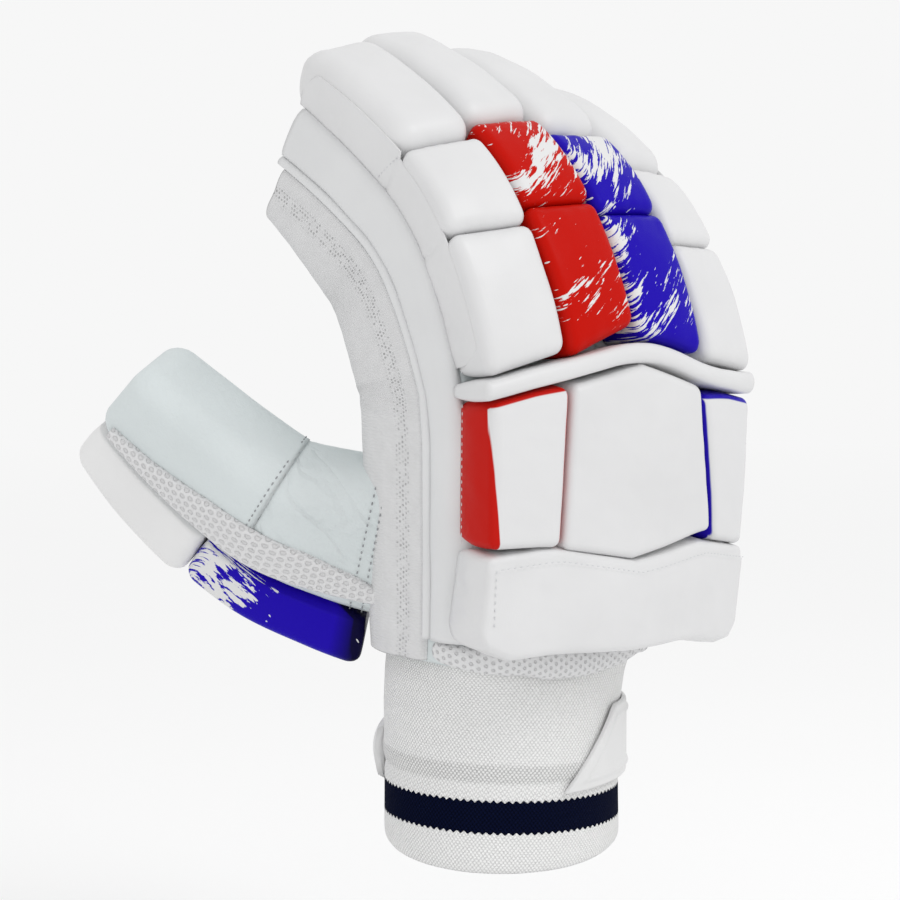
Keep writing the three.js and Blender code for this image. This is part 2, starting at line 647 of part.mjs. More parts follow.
// Ring of the cuff at height z, blended from the hand's lower rim to the cuff's own oval.
function cuffRing(z, blend, inset) {
  const top = handRing(Math.max(z, HAND_FOOT), LEATHER + SEAT + inset);
  return top.map((p) => {
    const a = Math.atan2(p.y / CUFF_DEPTH, p.x / CUFF_WIDTH);
    const oval = roundCuff(THREE.MathUtils.radToDeg(a), 0, -inset);
    oval.z = hemRise(oval, z);
    p.z = lerp(p.z + Math.min(0, z - HAND_FOOT), hemRise(oval, z), blend);
    return p.lerp(oval, blend);
  });
}

function cuffTube(heights) {
  const ring = (inset) => heights.map(([z, blend]) => cuffRing(z, blend, inset));
  return loft([...ring(0), ...ring(KNIT).reverse()], true);
}
const stripeTop = STRIPE_BOTTOM + STRIPE_HEIGHT;
add("cuff_sleeve", cuffTube([
  [stripeTop + 0.2, 1], [50, 1], [62, 0.6], [HAND_FOOT, 0], [lerp(HAND_FOOT, KNUCKLE - 0.9, 0.09), 0],
]), "knit");
add("cuff_stripe", cuffTube([[STRIPE_BOTTOM + 0.2, 1], [stripeTop - 0.2, 1]]), "navy");
add("cuff_hem", cuffTube([[0, 1], [STRIPE_BOTTOM - 0.2, 1]]), "knit");

// Wrist strap round the palm side, and its tab; angles in degrees, 0 towards +X
function roundCuff(angle, z, out) {
  const a = rad(angle);
  return new THREE.Vector3((CUFF_WIDTH / 2 + out) * Math.cos(a), (CUFF_DEPTH / 2 + out) * Math.sin(a), z);
}
const strapBulge = (angle) => 4 * Math.exp(-(((angle - 122) / 14) ** 2));
const strapHeight = (angle) => STRAP_HEIGHT - 6 * clamp((angle - 95) / 40, 0, 1);
add("wrist_strap", strip(
  steps(-18, 136, 14),
  (angle) => flatSection(STRAP_BOTTOM, STRAP_BOTTOM + strapHeight(angle), SEAT, STRAP_THICK, 0.8),
  (angle, z, out) => roundCuff(angle, z, out + strapBulge(angle)),
), "tab");
add("strap_tab", pad({
  at: between([[0, -100, STRAP_BOTTOM - 1], [1, -19, STRAP_BOTTOM - 1]],
    [[0, -64, STRAP_BOTTOM + STRAP_HEIGHT + 1], [1, -19, STRAP_BOTTOM + STRAP_HEIGHT + 1]]),
  place: (angle, z, h) => roundCuff(angle, z, h + 2 * SEAT),
  width: 50, length: 26, thick: TAB_THICK, round: 1.2, cells: [6, 3], foot: 0.1, belly: 0.1,
}), "tab");

// Thumb
const webStations = [0, 9, 19, 30, 41, THUMB_SEAM - 0.4];
const webRings = (inset) => webStations.map((s) => tubeRing(thumb, s, inset));
const thumbStations = [THUMB_SEAM + 11, THUMB_SEAM + 22, thumb.length - 17];
add("thumb_stall", stall(thumb, THUMB_SEAM, thumbStations, thumb.length + 4), "leather");
const web = loft([...webRings(0), ...webRings(LEATHER).reverse()], true);
const thumbHole = solid(loft([-6, ...webStations.slice(0, -2)].map((s) => tubeRing(thumb, s, -SEAT))));
const handRings = (inset) => HAND_HEIGHTS.map((z) => handRing(z, inset));
const hand = solid(loft([...handRings(0), ...handRings(LEATHER).reverse()], true)).subtract(thumbHole);
const largest = hand.decompose().sort((a, b) => b.volume() - a.volume())[0];
add("hand", geometryOf(largest), "leather");
add("thumb_web", web, "leather");

// How far the thumb's mesh reaches round its side, by the share of the thumb's length
const THUMB_MESH = [
  { share: 0.15, reach: 2 },
  { share: 0.42, reach: 10.5 },
  { share: 1, reach: 3.5 },
];
const thumbPad = { width: (s) => thumb.section(s).width - 1, round: 5, crown: 1.5, cells: [2, 3] };
const tipPad = { ...thumbPad, from: thumb.length - TIP_PAD, to: thumb.length + 2.5, thick: 21, tipThick: 17 };
const basePad = { ...thumbPad, from: 17, to: tipPad.from - 0.8, thick: 17.5, tipThick: 18 };
add("thumb_tip_pad", rollOn(thumb, tipPad), "padding");
add("thumb_base_pad", rollOn(thumb, basePad), "blue");
add("thumb_mesh", strip(
  [16, 23, 31, 41, THUMB_SEAM, 64, 76, 88, thumb.length - 3],
  (s) => flatSection(-2, column(THUMB_MESH, "share", "reach", s / thumb.length), SEAT + 0.2, MESH_THICK, 1),
  (s, u, lift) => onSide(thumb, 1, u, s, lift),
), "mesh");

export default glove;
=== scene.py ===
# Cricket batting glove for the right hand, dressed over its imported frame. Fingers point
# along +Z, the back of the hand faces -Y and the thumb -X. Shapes are worked out in
# millimetres and turned into metres where a mesh is made. UVs are lengths over the surface
# in millimetres, so weave, print and stitches keep their real scale.
import math
import bpy
import numpy as np
from mathutils import Matrix, Vector


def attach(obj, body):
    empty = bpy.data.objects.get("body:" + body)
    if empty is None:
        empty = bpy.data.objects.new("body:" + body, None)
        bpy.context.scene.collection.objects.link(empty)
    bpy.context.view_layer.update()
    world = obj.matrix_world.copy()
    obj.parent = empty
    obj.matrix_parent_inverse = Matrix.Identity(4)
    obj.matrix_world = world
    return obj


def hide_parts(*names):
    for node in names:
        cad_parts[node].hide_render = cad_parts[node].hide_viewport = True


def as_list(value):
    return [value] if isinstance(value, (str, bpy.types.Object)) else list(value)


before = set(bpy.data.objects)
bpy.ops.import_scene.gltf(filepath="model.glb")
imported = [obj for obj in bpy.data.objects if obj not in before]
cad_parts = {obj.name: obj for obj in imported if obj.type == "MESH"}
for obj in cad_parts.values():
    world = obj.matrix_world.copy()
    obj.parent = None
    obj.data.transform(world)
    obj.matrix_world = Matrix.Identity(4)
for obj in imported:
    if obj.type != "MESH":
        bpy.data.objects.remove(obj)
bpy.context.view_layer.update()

# Driving sizes, the same as the solids have
LEATHER = 2
SEAT = 0.5
ROLL_GAP = 0.35
ROLL_FLARE = 0.0025
KNUCKLE = 162
HAND_FOOT = 71
CUFF_WIDTH = 92
CUFF_DEPTH = 68
KNIT = 3
HEM_SIDE_RISE = 2.8
HEM_PALM_RISE = 2.3
HEM_DROP = 4.5
STRIPE_BOTTOM = 13.5
STRIPE_HEIGHT = 10.7
FINGER_DEPTH = 48
TIP_DEPTH = 42
PALM_ARCH = 4
WRIST_DEPTH = 62
BACK_PAD = 19
WRIST_PAD = 20
WELT_WIDTH = 5
WELT_HEIGHT = 20
BAR_THICK = 3.4
BAR_RUN = 80
MESH_THICK = 2.2
PIPING = 2.6
STRAP_BOTTOM = 25.5
STRAP_HEIGHT = 24
STRAP_THICK = 2
TAB_THICK = 1.7
THUMB_SEAM = 55
THUMB_TWIST = 15
THUMB_ACROSS = (-0.81, -0.34, -0.44)
DRIFT = 0.1
STEP = 2

# Sizes that only the looks need
TOOTH = 2.5  # of the stripe's knitted zigzag edge
TOOTH_DEPTH = 1.15
DIMPLE = 2.9  # pitch of the thumb's air mesh
STITCH = 2.6
STITCH_PITCH = 3.6

FINGERS = [
    dict(name="index", x=-40, y=-36, foot_x=-30, foot_y=-32, length=120, width=29.8,
         start=5, slant=3, lean=9.5, curl=18, twist=-13, foot_twist=-12),
    dict(name="middle", x=-10, y=-40.5, foot_x=-9, foot_y=-35, length=132.5, width=29.2,
         start=10.3, slant=6, lean=10.5, curl=21, twist=-6, foot_twist=-5),
    dict(name="ring", x=20, y=-42, foot_x=12, foot_y=-35, length=127.5, width=29.4,
         start=8.2, slant=-7.5, lean=10.5, curl=21, twist=0, foot_twist=4),
    dict(name="little", x=49.4, y=-39, foot_x=31.5, foot_y=-32, length=109, width=27.6,
         start=1.4, slant=-3, lean=10.5, curl=18, twist=8, foot_twist=12),
]
ROLLS = [
    dict(name="base", start=0, end=0.337, curl=None, thick=18.5, tip_thick=18),
    dict(name="mid", start=0.337, end=0.592, curl=22, thick=18, tip_thick=17.5),
    dict(name="tip", start=0.592, end=1.085, curl=11, thick=20, tip_thick=16.5),
]
# Share along a ray, then depth, back radius and palm radius of its section
SECTIONS = np.array([
    (-1, WRIST_DEPTH, 13, 30),
    (-0.55, 56, 8, 22),
    (-0.2, 51, 4.5, 14),
    (0, FINGER_DEPTH, 4, 10.5),
    (0.6, FINGER_DEPTH - 1, 4, 10),
    (1, TIP_DEPTH, 4, 9),
])
# Middle line of the thumb: x, y, z, then width, depth, back radius and palm radius
THUMB = np.array([
    (-26, 7, 108, 30, 56, 12, 15),
    (-36, 17.5, 110, 31, 54, 11, 15),
    (-48, 30, 114, 33, 48, 9, 14),
    (-60, 42, 120, 35, 42, 7, 13),
    (-71.6, 55.1, 132.5, 36, 37, 6, 11),
    (-82.2, 67.4, 146.5, 35, 34, 6, 10),
    (-90.4, 77, 158.5, 33, 30, 6, 9),
], float)


def unit(v):
    v = np.asarray(v, float)
    return v / np.linalg.norm(v, axis=-1, keepdims=True)


def mixed(a, b, t):
    return a + (b - a) * t


def smooth(edge0, edge1, x):
    t = np.clip((x - edge0) / (edge1 - edge0), 0, 1)
    return t * t * (3 - 2 * t)


def column(v):
    return np.asarray(v, float)[..., None]


# Rays: the line along a stall's padded face, with a frame at every station
class Ray:
    def __init__(self, points, first, across, twist, square):
        self.first = first
        reach = 5
        n = len(points)
        ahead = points[np.minimum(n - 1, np.arange(n) + reach)]
        behind = points[np.maximum(0, np.arange(n) - reach)]
        T = unit(ahead - behind)
        turn = np.radians(twist(first + STEP * np.arange(n)))
        flat = unit(across - T * (T @ across)[:, None])
        B = flat * np.cos(turn)[:, None] + np.cross(T, flat) * np.sin(turn)[:, None]
        N = np.cross(B, T)
        D = -N + B * (np.tan(turn)[:, None] if square else 0)
        self.frames = dict(P=points, T=T, B=B, N=N, D=D)

    def at(self, s):
        s = np.asarray(s, float)
        t = np.clip((s - self.first) / STEP, 0, len(self.frames["P"]) - 1.0001)
        i = t.astype(int)
        f = {k: mixed(v[i], v[i + 1], column(t - i)) for k, v in self.frames.items()}
        f["T"] = unit(f["T"])
        f["P"] = f["P"] + f["T"] * column(s - self.first - t * STEP)
        return f


def finger_ray(f):
    knuckle = np.array([f["x"], f["y"], KNUCKLE], float)
    foot = np.array([f["foot_x"], f["foot_y"], HAND_FOOT], float)
    hand_length = np.linalg.norm(foot - knuckle)
    down = (foot - knuckle) / hand_length
    below = math.ceil((hand_length + 10) / STEP)
    points = [knuckle + down * i * STEP for i in range(below, -1, -1)]
    rolls = [(r["curl"] or f["curl"], roll_at(f, r["start"]), roll_at(f, r["end"])) for r in ROLLS]
    p = knuckle.copy()
    s = STEP / 2
    while s < f["length"] + 6:
        pitch = f["lean"] + sum(c * np.clip((s - a) / (b - a), 0, 1) for c, a, b in rolls)
        drift = -DRIFT * np.clip(1 - (s - rolls[0][1]) / (rolls[0][2] - rolls[0][1]), 0, 1)
        p = p + STEP * np.array([drift, math.sin(math.radians(pitch)), math.cos(math.radians(pitch))])
        points.append(p)
        s += STEP
    twist = lambda s: mixed(f["twist"], f["foot_twist"], np.clip(-s / hand_length, 0, 1))
    ray = Ray(np.array(points), -below * STEP, np.array([1.0, 0, 0]), twist, True)
    ray.name, ray.width, ray.length = f["name"], f["width"], f["length"]
    ray.start, ray.slant, ray.hand_length = f["start"], f["slant"], hand_length

    def section(s):
        share = np.where(s < 0, s / hand_length, s / f["length"])
        read = lambda k: np.interp(share, SECTIONS[:, 0], SECTIONS[:, k])
        return np.full(np.shape(s), float(f["width"])), read(1), read(2), read(3)

    ray.section = section
    ray.station = lambda z: (z - KNUCKLE) / -down[2]
    return ray


def roll_at(f, share):
    f = f if isinstance(f, dict) else dict(start=f.start, length=f.length)
    return f["start"] + share * (f["length"] - f["start"])


# Centripetal Catmull-Rom line through the thumb's rows, as evenly spaced points
def spaced_curve(rows, step):
    pad = np.vstack([2 * rows[0] - rows[1], rows, 2 * rows[-1] - rows[-2]])
    line = []
    for i in range(1, len(pad) - 2):
        p0, p1, p2, p3 = pad[i - 1:i + 3]
        t1 = np.linalg.norm(p1 - p0) ** 0.5
        t2 = t1 + np.linalg.norm(p2 - p1) ** 0.5
        t3 = t2 + np.linalg.norm(p3 - p2) ** 0.5
        for t in np.linspace(t1, t2, 40, endpoint=i == len(pad) - 3):
            a1 = p0 * (t1 - t) / t1 + p1 * t / t1
            a2 = p1 * (t2 - t) / (t2 - t1) + p2 * (t - t1) / (t2 - t1)
            a3 = p2 * (t3 - t) / (t3 - t2) + p3 * (t - t2) / (t3 - t2)
            b1 = a1 * (t2 - t) / t2 + a2 * t / t2
            b2 = a2 * (t3 - t) / (t3 - t1) + a3 * (t - t1) / (t3 - t1)
            line.append(b1 * (t2 - t) / (t2 - t1) + b2 * (t - t1) / (t2 - t1))
    line = np.array(line)
    run = np.concatenate([[0], np.cumsum(np.linalg.norm(np.diff(line, axis=0), axis=1))])
    count = round(run[-1] / step)
    even = np.linspace(0, run[-1], count + 1)
    return np.stack([np.interp(even, run, line[:, k]) for k in range(3)], 1), run[-1]


def thumb_ray():
    points, length = spaced_curve(THUMB[:, :3], STEP)
    rows = np.linspace(0, length, len(THUMB))
    twist = lambda s: mixed(THUMB_TWIST, 0, np.clip(s / THUMB_SEAM, 0, 1))
    ray = Ray(points, 0, np.array(THUMB_ACROSS), twist, False)
    ray.name, ray.length = "thumb", length
    ray.section = lambda s: tuple(np.interp(s, rows, THUMB[:, k]) for k in (3, 4, 5, 6))
    middle = ray.at

    def at(s):
        f = middle(s)
        f["P"] = f["P"] + f["N"] * column(ray.section(s)[1] / 2)
        return f

    ray.at = at
    return ray


rays = [finger_ray(f) for f in FINGERS]
index_ray, little_ray = rays[0], rays[3]
thumb = thumb_ray()


# Places on the rays' sections
def outline_point(section, part, t, inset):
    width, depth, back, palm = section
    half = width / 2 - inset
    back = np.maximum(back - inset, 0.5)
    palm = np.maximum(palm - inset, 1)
    bottom = depth - inset
    a = t * math.pi / 2
    if part == "flat":
        return -half, mixed(inset + back, bottom - palm, t)
    if part == "back":
        return -half + back - back * math.cos(a), inset + back - back * math.sin(a)
    return -half + palm - palm * math.cos(a), bottom - palm + palm * math.sin(a)


def world_of(f, side, place):
    across, deep = place
    return f["P"] - f["B"] * column(side * across) + f["D"] * column(deep)


def on_side(ray, side, u, s, lift):
    u, s, lift = np.broadcast_arrays(np.asarray(u, float), np.asarray(s, float), np.asarray(lift, float))
    width, depth, back, palm = ray.section(s)
    half = width / 2
    flat = depth - back - palm
    a = -u / back
    b = (u - flat) / palm
    across = np.where(u < 0, -half + back - (back + lift) * np.cos(a), -half - lift)
    deep = np.where(u < 0, back - (back + lift) * np.sin(a), back + u)
    across = np.where(u > flat, -half + palm - (palm + lift) * np.cos(b), across)
    deep = np.where(u > flat, back + flat + (palm + lift) * np.sin(b), deep)
    return world_of(ray.at(s), side, (across, deep))


def on_back(x, z, h):
    x, z, h = np.broadcast_arrays(np.asarray(x, float), np.asarray(z, float), np.asarray(h, float))
    fs = [r.at(r.station(z)) for r in rays]
    P = np.stack([f["P"] for f in fs])
    N = np.stack([f["N"] for f in fs])
    B = np.stack([f["B"] for f in fs])
    ends = np.concatenate([P[:1] - 28 * B[:1], P, P[-1:] + 28 * B[-1:]])
    i = np.clip((x >= P[..., 0]).sum(0) - 1, 0, 2)
    pick = lambda A, k: np.take_along_axis(A, (i + k)[None, ..., None], 0)[0]
    t = column((x - pick(P, 0)[..., 0]) / (pick(P, 1)[..., 0] - pick(P, 0)[..., 0]))
    p0, p1, p2, p3 = (pick(ends, k) for k in range(4))
    bent = p1 + 0.5 * t * (p2 - p0 + t * (2 * p0 - 5 * p1 + 4 * p2 - p3 + t * (3 * p1 - p0 - 3 * p2 + p3)))
    bent[..., 0] = x
    inner = bent + unit(mixed(pick(N, 0), pick(N, 1), t)) * column(h)
    left = x <= P[0, ..., 0]
    for k, outer in ((0, left), (3, x >= P[3, ..., 0])):
        over = column((x - P[k, ..., 0]) / B[k, ..., 0])
        inner = np.where(outer[..., None], P[k] + B[k] * over + N[k] * column(h), inner)
    return inner


# Smooth noise from a few sums of sines, the same in every run
def ripple(x, y, pitch, seed, turns=5):
    rng = np.random.default_rng(seed)
    total = 0
    for _ in range(turns):
        angle, phase = rng.uniform(0, 2 * math.pi, 2)
        k = 2 * math.pi / (pitch * rng.uniform(0.7, 1.5))
        total = total + np.sin(k * (x * math.cos(angle) + y * math.sin(angle)) + phase)
    return total / turns


# Meshes
def piece(name, points, faces, uvs, material, replaced=(), slot=None, face_uvs=None):
    mesh = bpy.data.meshes.new(name)
    mesh.from_pydata((np.asarray(points) / 1000).tolist(), [], [list(map(int, f)) for f in faces])
    mesh.polygons.foreach_set("use_smooth", [True] * len(mesh.polygons))
    layer = mesh.uv_layers.new(name="lengths")
    loops = np.concatenate([np.asarray(f) for f in (face_uvs if face_uvs is not None else faces)])
    layer.data.foreach_set("uv", np.asarray(uvs)[loops].ravel())
    mesh.materials.append(material)
    o = bpy.data.objects.new(name, mesh)
    bpy.context.scene.collection.objects.link(o)
    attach(o, "root")
    if replaced:
        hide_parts(*replaced)
    return face_out(o)


# Takes a piece with its girth and length in millimetres and hands the piece back unchanged
def cloth(o, girth, length, held="stretched", rests_on=()):
    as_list(rests_on)
    return o


def face_out(o):
    mesh = o.data
    mesh.calc_loop_triangles()
    co = np.zeros(len(mesh.vertices) * 3)
    mesh.vertices.foreach_get("co", co)
    co = co.reshape(-1, 3)
    tri = np.zeros(len(mesh.loop_triangles) * 3, int)
    mesh.loop_triangles.foreach_get("vertices", tri)
    a, b, c = (co[tri.reshape(-1, 3)[:, k]] for k in range(3))
    if (a * np.cross(b, c)).sum() < 0:
        mesh.flip_normals()
    return o


def grid_quads(rows, cols, wrap=False, closed=False):
    faces, face_uvs = [], []
    for i in range(rows if closed else rows - 1):
        for j in range(cols if wrap else cols - 1):
            i1, j1 = (i + 1) % rows, (j + 1) % cols
            faces.append((i * cols + j, i * cols + j1, i1 * cols + j1, i1 * cols + j))
            w = cols + 1 if wrap else cols
            face_uvs.append((i * w + j, i * w + j + 1, (i + 1) * w + j + 1, (i + 1) * w + j))
    return faces, face_uvs


# A tube or bar from rings of points (rows, cols, 3), with its two ends filled in
def tube(name, rings, material, capped=True, closed=False, uv_rows=None, uv_cols=None, **facts):
    rings = np.asarray(rings, float)
    rows, cols = rings.shape[:2]
    wrapped = np.concatenate([rings, rings[:, :1]], 1)
    run = np.concatenate([np.zeros((rows, 1)), np.cumsum(np.linalg.norm(np.diff(wrapped, axis=1), axis=2), 1)], 1)
    if uv_cols is not None:
        run = np.broadcast_to(uv_cols, (rows, cols + 1))
    if uv_rows is None:
        middle = rings.mean(1)
        uv_rows = np.concatenate([[0], np.cumsum(np.linalg.norm(np.diff(middle, axis=0), axis=1))])
    if closed:
        run = np.concatenate([run, run[:1]])
        uv_rows = np.append(uv_rows, uv_rows[-1] + 3)
    uvs = np.stack([run, np.broadcast_to(np.asarray(uv_rows)[:, None], run.shape)], -1).reshape(-1, 2)
    points = rings.reshape(-1, 3)
    faces, face_uvs = grid_quads(rows, cols, wrap=True, closed=closed)
    if capped and not closed:
        for row in (0, rows - 1):
            hub = len(points)
            points = np.vstack([points, rings[row].mean(0)])
            uvs = np.vstack([uvs, uvs[row * (cols + 1)]])
            for j in range(cols):
                ring = (row * cols + j, row * cols + (j + 1) % cols)
                edge = (row * (cols + 1) + j, row * (cols + 1) + j + 1)
                faces.append((hub, *(ring if row else ring[::-1])))
                face_uvs.append((len(uvs) - 1, *(edge if row else edge[::-1])))
    return piece(name, points, faces, uvs, material, face_uvs=face_uvs, **facts)


def grid_lines(length, rounding, inner, edge=6):
    near = [rounding * (1 - math.cos(i * math.pi / 2 / edge)) / length for i in range(edge + 1)]
    middle = np.linspace(near[-1], 1 - near[-1], inner + 1)[1:-1]
    return np.array([*near, *middle, *(1 - np.array(near))[::-1]])


# A stuffed pad with rounded edges, a crowned face and bulging walls. relief(u, v, across,
# along) lifts its face. UVs run on over the walls.
def pad(name, at, place, width, length, thick, rounding, material,
        crown=0.0, foot=0.6, belly=0.4, pitch=1.6, relief=None, walls=9, crumple=0.0, **facts):
    us = grid_lines(width, rounding, max(4, round((width - 2 * rounding) / pitch)))
    vs = grid_lines(length, rounding, max(4, round((length - 2 * rounding) / pitch)))
    u, v = np.meshgrid(us, vs)
    edge = lambda t, size: np.where(t < 0.5, -1, 1) * np.maximum(0, 1 - np.minimum(t, 1 - t) * size / rounding)
    ex, ey = edge(u, width), edge(v, length)
    reach = np.hypot(ex, ey)
    fit = np.maximum(np.abs(ex), np.abs(ey)) / np.where(reach == 0, 1, reach)
    rx, ry = ex * fit, ey * fit
    e = np.minimum(1, np.hypot(rx, ry))
    swell = crown * (1 - (2 * u - 1) ** 2) * (1 - (2 * v - 1) ** 2)
    drop = rounding * (1 - np.sqrt(np.maximum(0, 1 - e * e)))
    across, along = at(u + (rx - ex) * rounding / width, v + (ry - ey) * rounding / length)
    h = thick(u, v) - drop + swell
    if relief is not None:
        h = h + relief(u, v, across, along) * (1 - e ** 4)
    out = np.stack([rx, ry], -1) / np.where(e == 0, 1, e)[..., None]
    points = [place(across, along, h).reshape(-1, 3)]
    uvs = [np.stack([across, along], -1).reshape(-1, 2)]
    nv, nu = u.shape
    faces = [(j * nu + i, j * nu + i + 1, (j + 1) * nu + i + 1, (j + 1) * nu + i)
             for j in range(nv - 1) for i in range(nu - 1)]
    rim = [i for i in range(nu)]
    rim += [j * nu + nu - 1 for j in range(1, nv)]
    rim += [(nv - 1) * nu + i for i in range(nu - 2, -1, -1)]
    rim += [j * nu for j in range(nv - 2, 0, -1)]
    A, L, H, O = (x.reshape(nu * nv, -1)[rim] for x in (across, along, h, out))
    last, count = np.array(rim), nu * nv
    for t in np.linspace(0, 1, walls + 1)[1:]:
        grow = belly * math.sin(math.pi * t) - foot * t ** 3
        if crumple:
            grow = grow + crumple * math.sin(math.pi * t) * ripple(A[:, 0] + L[:, 0], 9 * t + 0 * L[:, 0], 9, 5)
        points.append(place(A[:, 0] + grow * O[:, 0], L[:, 0] + grow * O[:, 1], H[:, 0] * (1 - t)))
        down = column(H[:, 0] * t)
        uvs.append(np.concatenate([A, L], 1) + O * down)
        ring = count + np.arange(len(rim))
        faces += list(zip(last, ring, np.roll(ring, -1), np.roll(last, -1)))
        last, count = ring, count + len(rim)
    points.append(place(A.mean(0), L.mean(0), np.zeros(1)))
    uvs.append(np.array([[A.mean(), L.mean()]]))
    faces += [(count, b, a) for a, b in zip(last, np.roll(last, -1))]
    o = piece(name, np.concatenate(points), faces, np.concatenate(uvs), material, **facts)
    return o


# Stitches, many in one piece
class Stitches:
    def __init__(self):
        self.points, self.faces = [], []

    def dot(self, at, along, out, length, radius, sides=6, rings=4):
        side = np.cross(out, along)
        base = len(self.points)
        for i in range(rings + 1):
            a = math.pi * i / rings
            for j in range(sides):
                b = 2 * math.pi * j / sides
                r = radius * max(math.sin(a), 0.02)
                p = at - along * math.cos(a) * length / 2
                self.points.append(p + side * r * math.cos(b) + out * r * 0.8 * math.sin(b))
        for i in range(rings):
            for j in range(sides):
                k = (j + 1) % sides
                self.faces.append((base + i * sides + j, base + i * sides + k,
                                   base + (i + 1) * sides + k, base + (i + 1) * sides + j))

    def line(self, path, over, pitch=STITCH_PITCH, length=STITCH, radius=0.32):
        run = np.concatenate([[0], np.cumsum(np.linalg.norm(np.diff(path, axis=0), axis=1))])
        for s in np.arange(pitch / 2, run[-1], pitch):
            at = np.array([np.interp(s, run, path[:, k]) for k in range(3)])
            ahead = np.array([np.interp(s + 0.5, run, path[:, k]) for k in range(3)])
            back = np.array([np.interp(s - 0.5, run, path[:, k]) for k in range(3)])
            out = np.array([np.interp(s, run, over[:, k]) for k in range(3)])
            along = unit(ahead - back)
            out = unit(out - along * (out @ along))
            self.dot(at, along, out, length, radius)

    def make(self, name, material, slot):
        uvs = np.zeros((len(self.points), 2))
        return piece(name, self.points, self.faces, uvs, material, slot=slot)


# Materials
class Shader:
    def __init__(self, name, roughness, shine=0.5):
        self.material = bpy.data.materials.new(name)
        self.material.use_nodes = True
        self.nodes = self.material.node_tree.nodes
        self.links = self.material.node_tree.links
        self.surface = self.nodes["Principled BSDF"]
        self.surface.inputs["Roughness"].default_value = roughness
        self.surface.inputs["Specular IOR Level"].default_value = shine
        self.place = self.add("TexCoord").outputs["Object"]
        self.lengths = self.add("TexCoord").outputs["UV"]

    def add(self, kind, inputs=None, **settings):
        node = self.nodes.new("ShaderNode" + kind)
        for key, value in settings.items():
            setattr(node, key, value)
        for key, value in (inputs or {}).items():
            if isinstance(value, bpy.types.NodeSocket):
                self.links.new(value, node.inputs[key])
            else:
                node.inputs[key].default_value = value
        return node

    def math(self, operation, a, b=0.0, clamp=False):
        return self.add("Math", {0: a, 1: b}, operation=operation, use_clamp=clamp).outputs[0]

    def noise(self, where, scale, detail=2.0, roughness=0.5):
        inputs = {"Vector": where, "Scale": scale, "Detail": detail, "Roughness": roughness}
        return self.add("TexNoise", inputs).outputs["Fac"]

    # Turned by an angle about Z, or about Y for the object's own place, then scaled
    def mapped(self, where, scale=(1, 1, 1), turn=0.0, shift=(0, 0, 0), about_y=False):
        turn = math.radians(turn)
        spin = (0, turn, 0) if about_y else (0, 0, turn)
        turned = self.add("Mapping", {"Vector": where, "Location": shift, "Rotation": spin})
        return self.add("Mapping", {"Vector": turned.outputs[0], "Scale": scale}).outputs[0]

    def ramp(self, value, low, high, start=0.0, end=1.0):
        inputs = {"Value": value, "From Min": low, "From Max": high, "To Min": start, "To Max": end}
        return self.add("MapRange", inputs).outputs[0]

    def parts(self, vector):
        split = self.add("SeparateXYZ", {"Vector": vector})
        return split.outputs[0], split.outputs[1]

    def blend(self, factor, a, b):
        mix = self.add("Mix", data_type="RGBA")
        for socket, value in ((mix.inputs[0], factor), (mix.inputs[6], a), (mix.inputs[7], b)):
            if isinstance(value, bpy.types.NodeSocket):
                self.links.new(value, socket)
            else:
                socket.default_value = (*value, 1) if isinstance(value, tuple) else value
        return mix.outputs[2]

    def bump(self, height, distance, under=None):
        inputs = {"Height": height, "Distance": distance, "Strength": 1.0}
        if under is not None:
            inputs["Normal"] = under
        return self.add("Bump", inputs).outputs[0]

    def done(self, color, normal=None, roughness=None):
        if isinstance(color, tuple):
            self.surface.inputs["Base Color"].default_value = (*color, 1)
        else:
            self.links.new(color, self.surface.inputs["Base Color"])
        if normal is not None:
            self.links.new(normal, self.surface.inputs["Normal"])
        if roughness is not None:
            self.links.new(roughness, self.surface.inputs["Roughness"])
        return self.material


WHITE = (0.685, 0.685, 0.69)
PALE_LEATHER = (0.655, 0.705, 0.71)
RED = (0.49, 0.006, 0.002)
BLUE = (0.014, 0.003, 0.38)
NAVY = (0.0025, 0.0045, 0.021)
PAINTED_SHADE_BLUE = (0.003, 0.002, 0.03)


# Smooth coated leather: fine pores, and a slow unevenness from the foam under it
def leather_coat(shader, grain=0.00003):
    pores = shader.noise(shader.place, 1900, 3.0, 0.6)
    waves = shader.noise(shader.place, 55, 2.0)
    fine = shader.bump(pores, grain)
    return shader.bump(waves, 0.0006, fine)


def white_coat(name="white_coat", tint=WHITE, roughness=0.42):
    s = Shader(name, roughness)
    tone = s.ramp(s.noise(s.place, 40, 3.0), 0.3, 0.7, 0.0, 1.0)
    darker = tuple(c * 0.955 for c in tint)
    return s.done(s.blend(tone, darker, tint), leather_coat(s))


# Brushed print: colour with stretched flecks left bare, more of them in patches and towards
# one end. turn is the flecks' slant across the back of the hand. With shade given, the print
# darkens to near-black blue over that span of lengths, which is painted shade.
def brushed_coat(name, color, turn, shift, fade, shade=None):
    s = Shader(name, 0.36, 0.05)
    at = lambda long, wide, seed: s.mapped(s.place, (wide, long / 2, long), turn, (shift + seed, 0, seed), True)
    fleck = s.noise(at(130, 1150, 0), 1.0, 4.0, 0.6)
    patch = s.noise(at(30, 75, 7.3), 1.0, 2.0, 0.55)
    speck = s.noise(at(210, 760, 3.1), 1.0, 1.5, 0.5)
    low, high, gain = fade
    _, y = s.parts(s.lengths)
    bare = s.math("ADD", fleck, s.math("MULTIPLY", s.math("SUBTRACT", patch, 0.5), 1.15))
    bare = s.math("ADD", bare, s.ramp(y, low, high, 0.0, gain))
    first = s.ramp(bare, 0.645, 0.668)
    second = s.ramp(speck, 0.735, 0.75)
    factor = s.math("MAXIMUM", first, second)
    # Painted shade: the print turns near-black blue at the start of the lengths
    if shade:
        color = s.blend(s.ramp(y, *shade), PAINTED_SHADE_BLUE, color)
    return s.done(s.blend(factor, color, (0.70, 0.70, 0.70)), leather_coat(s, 0.00005))


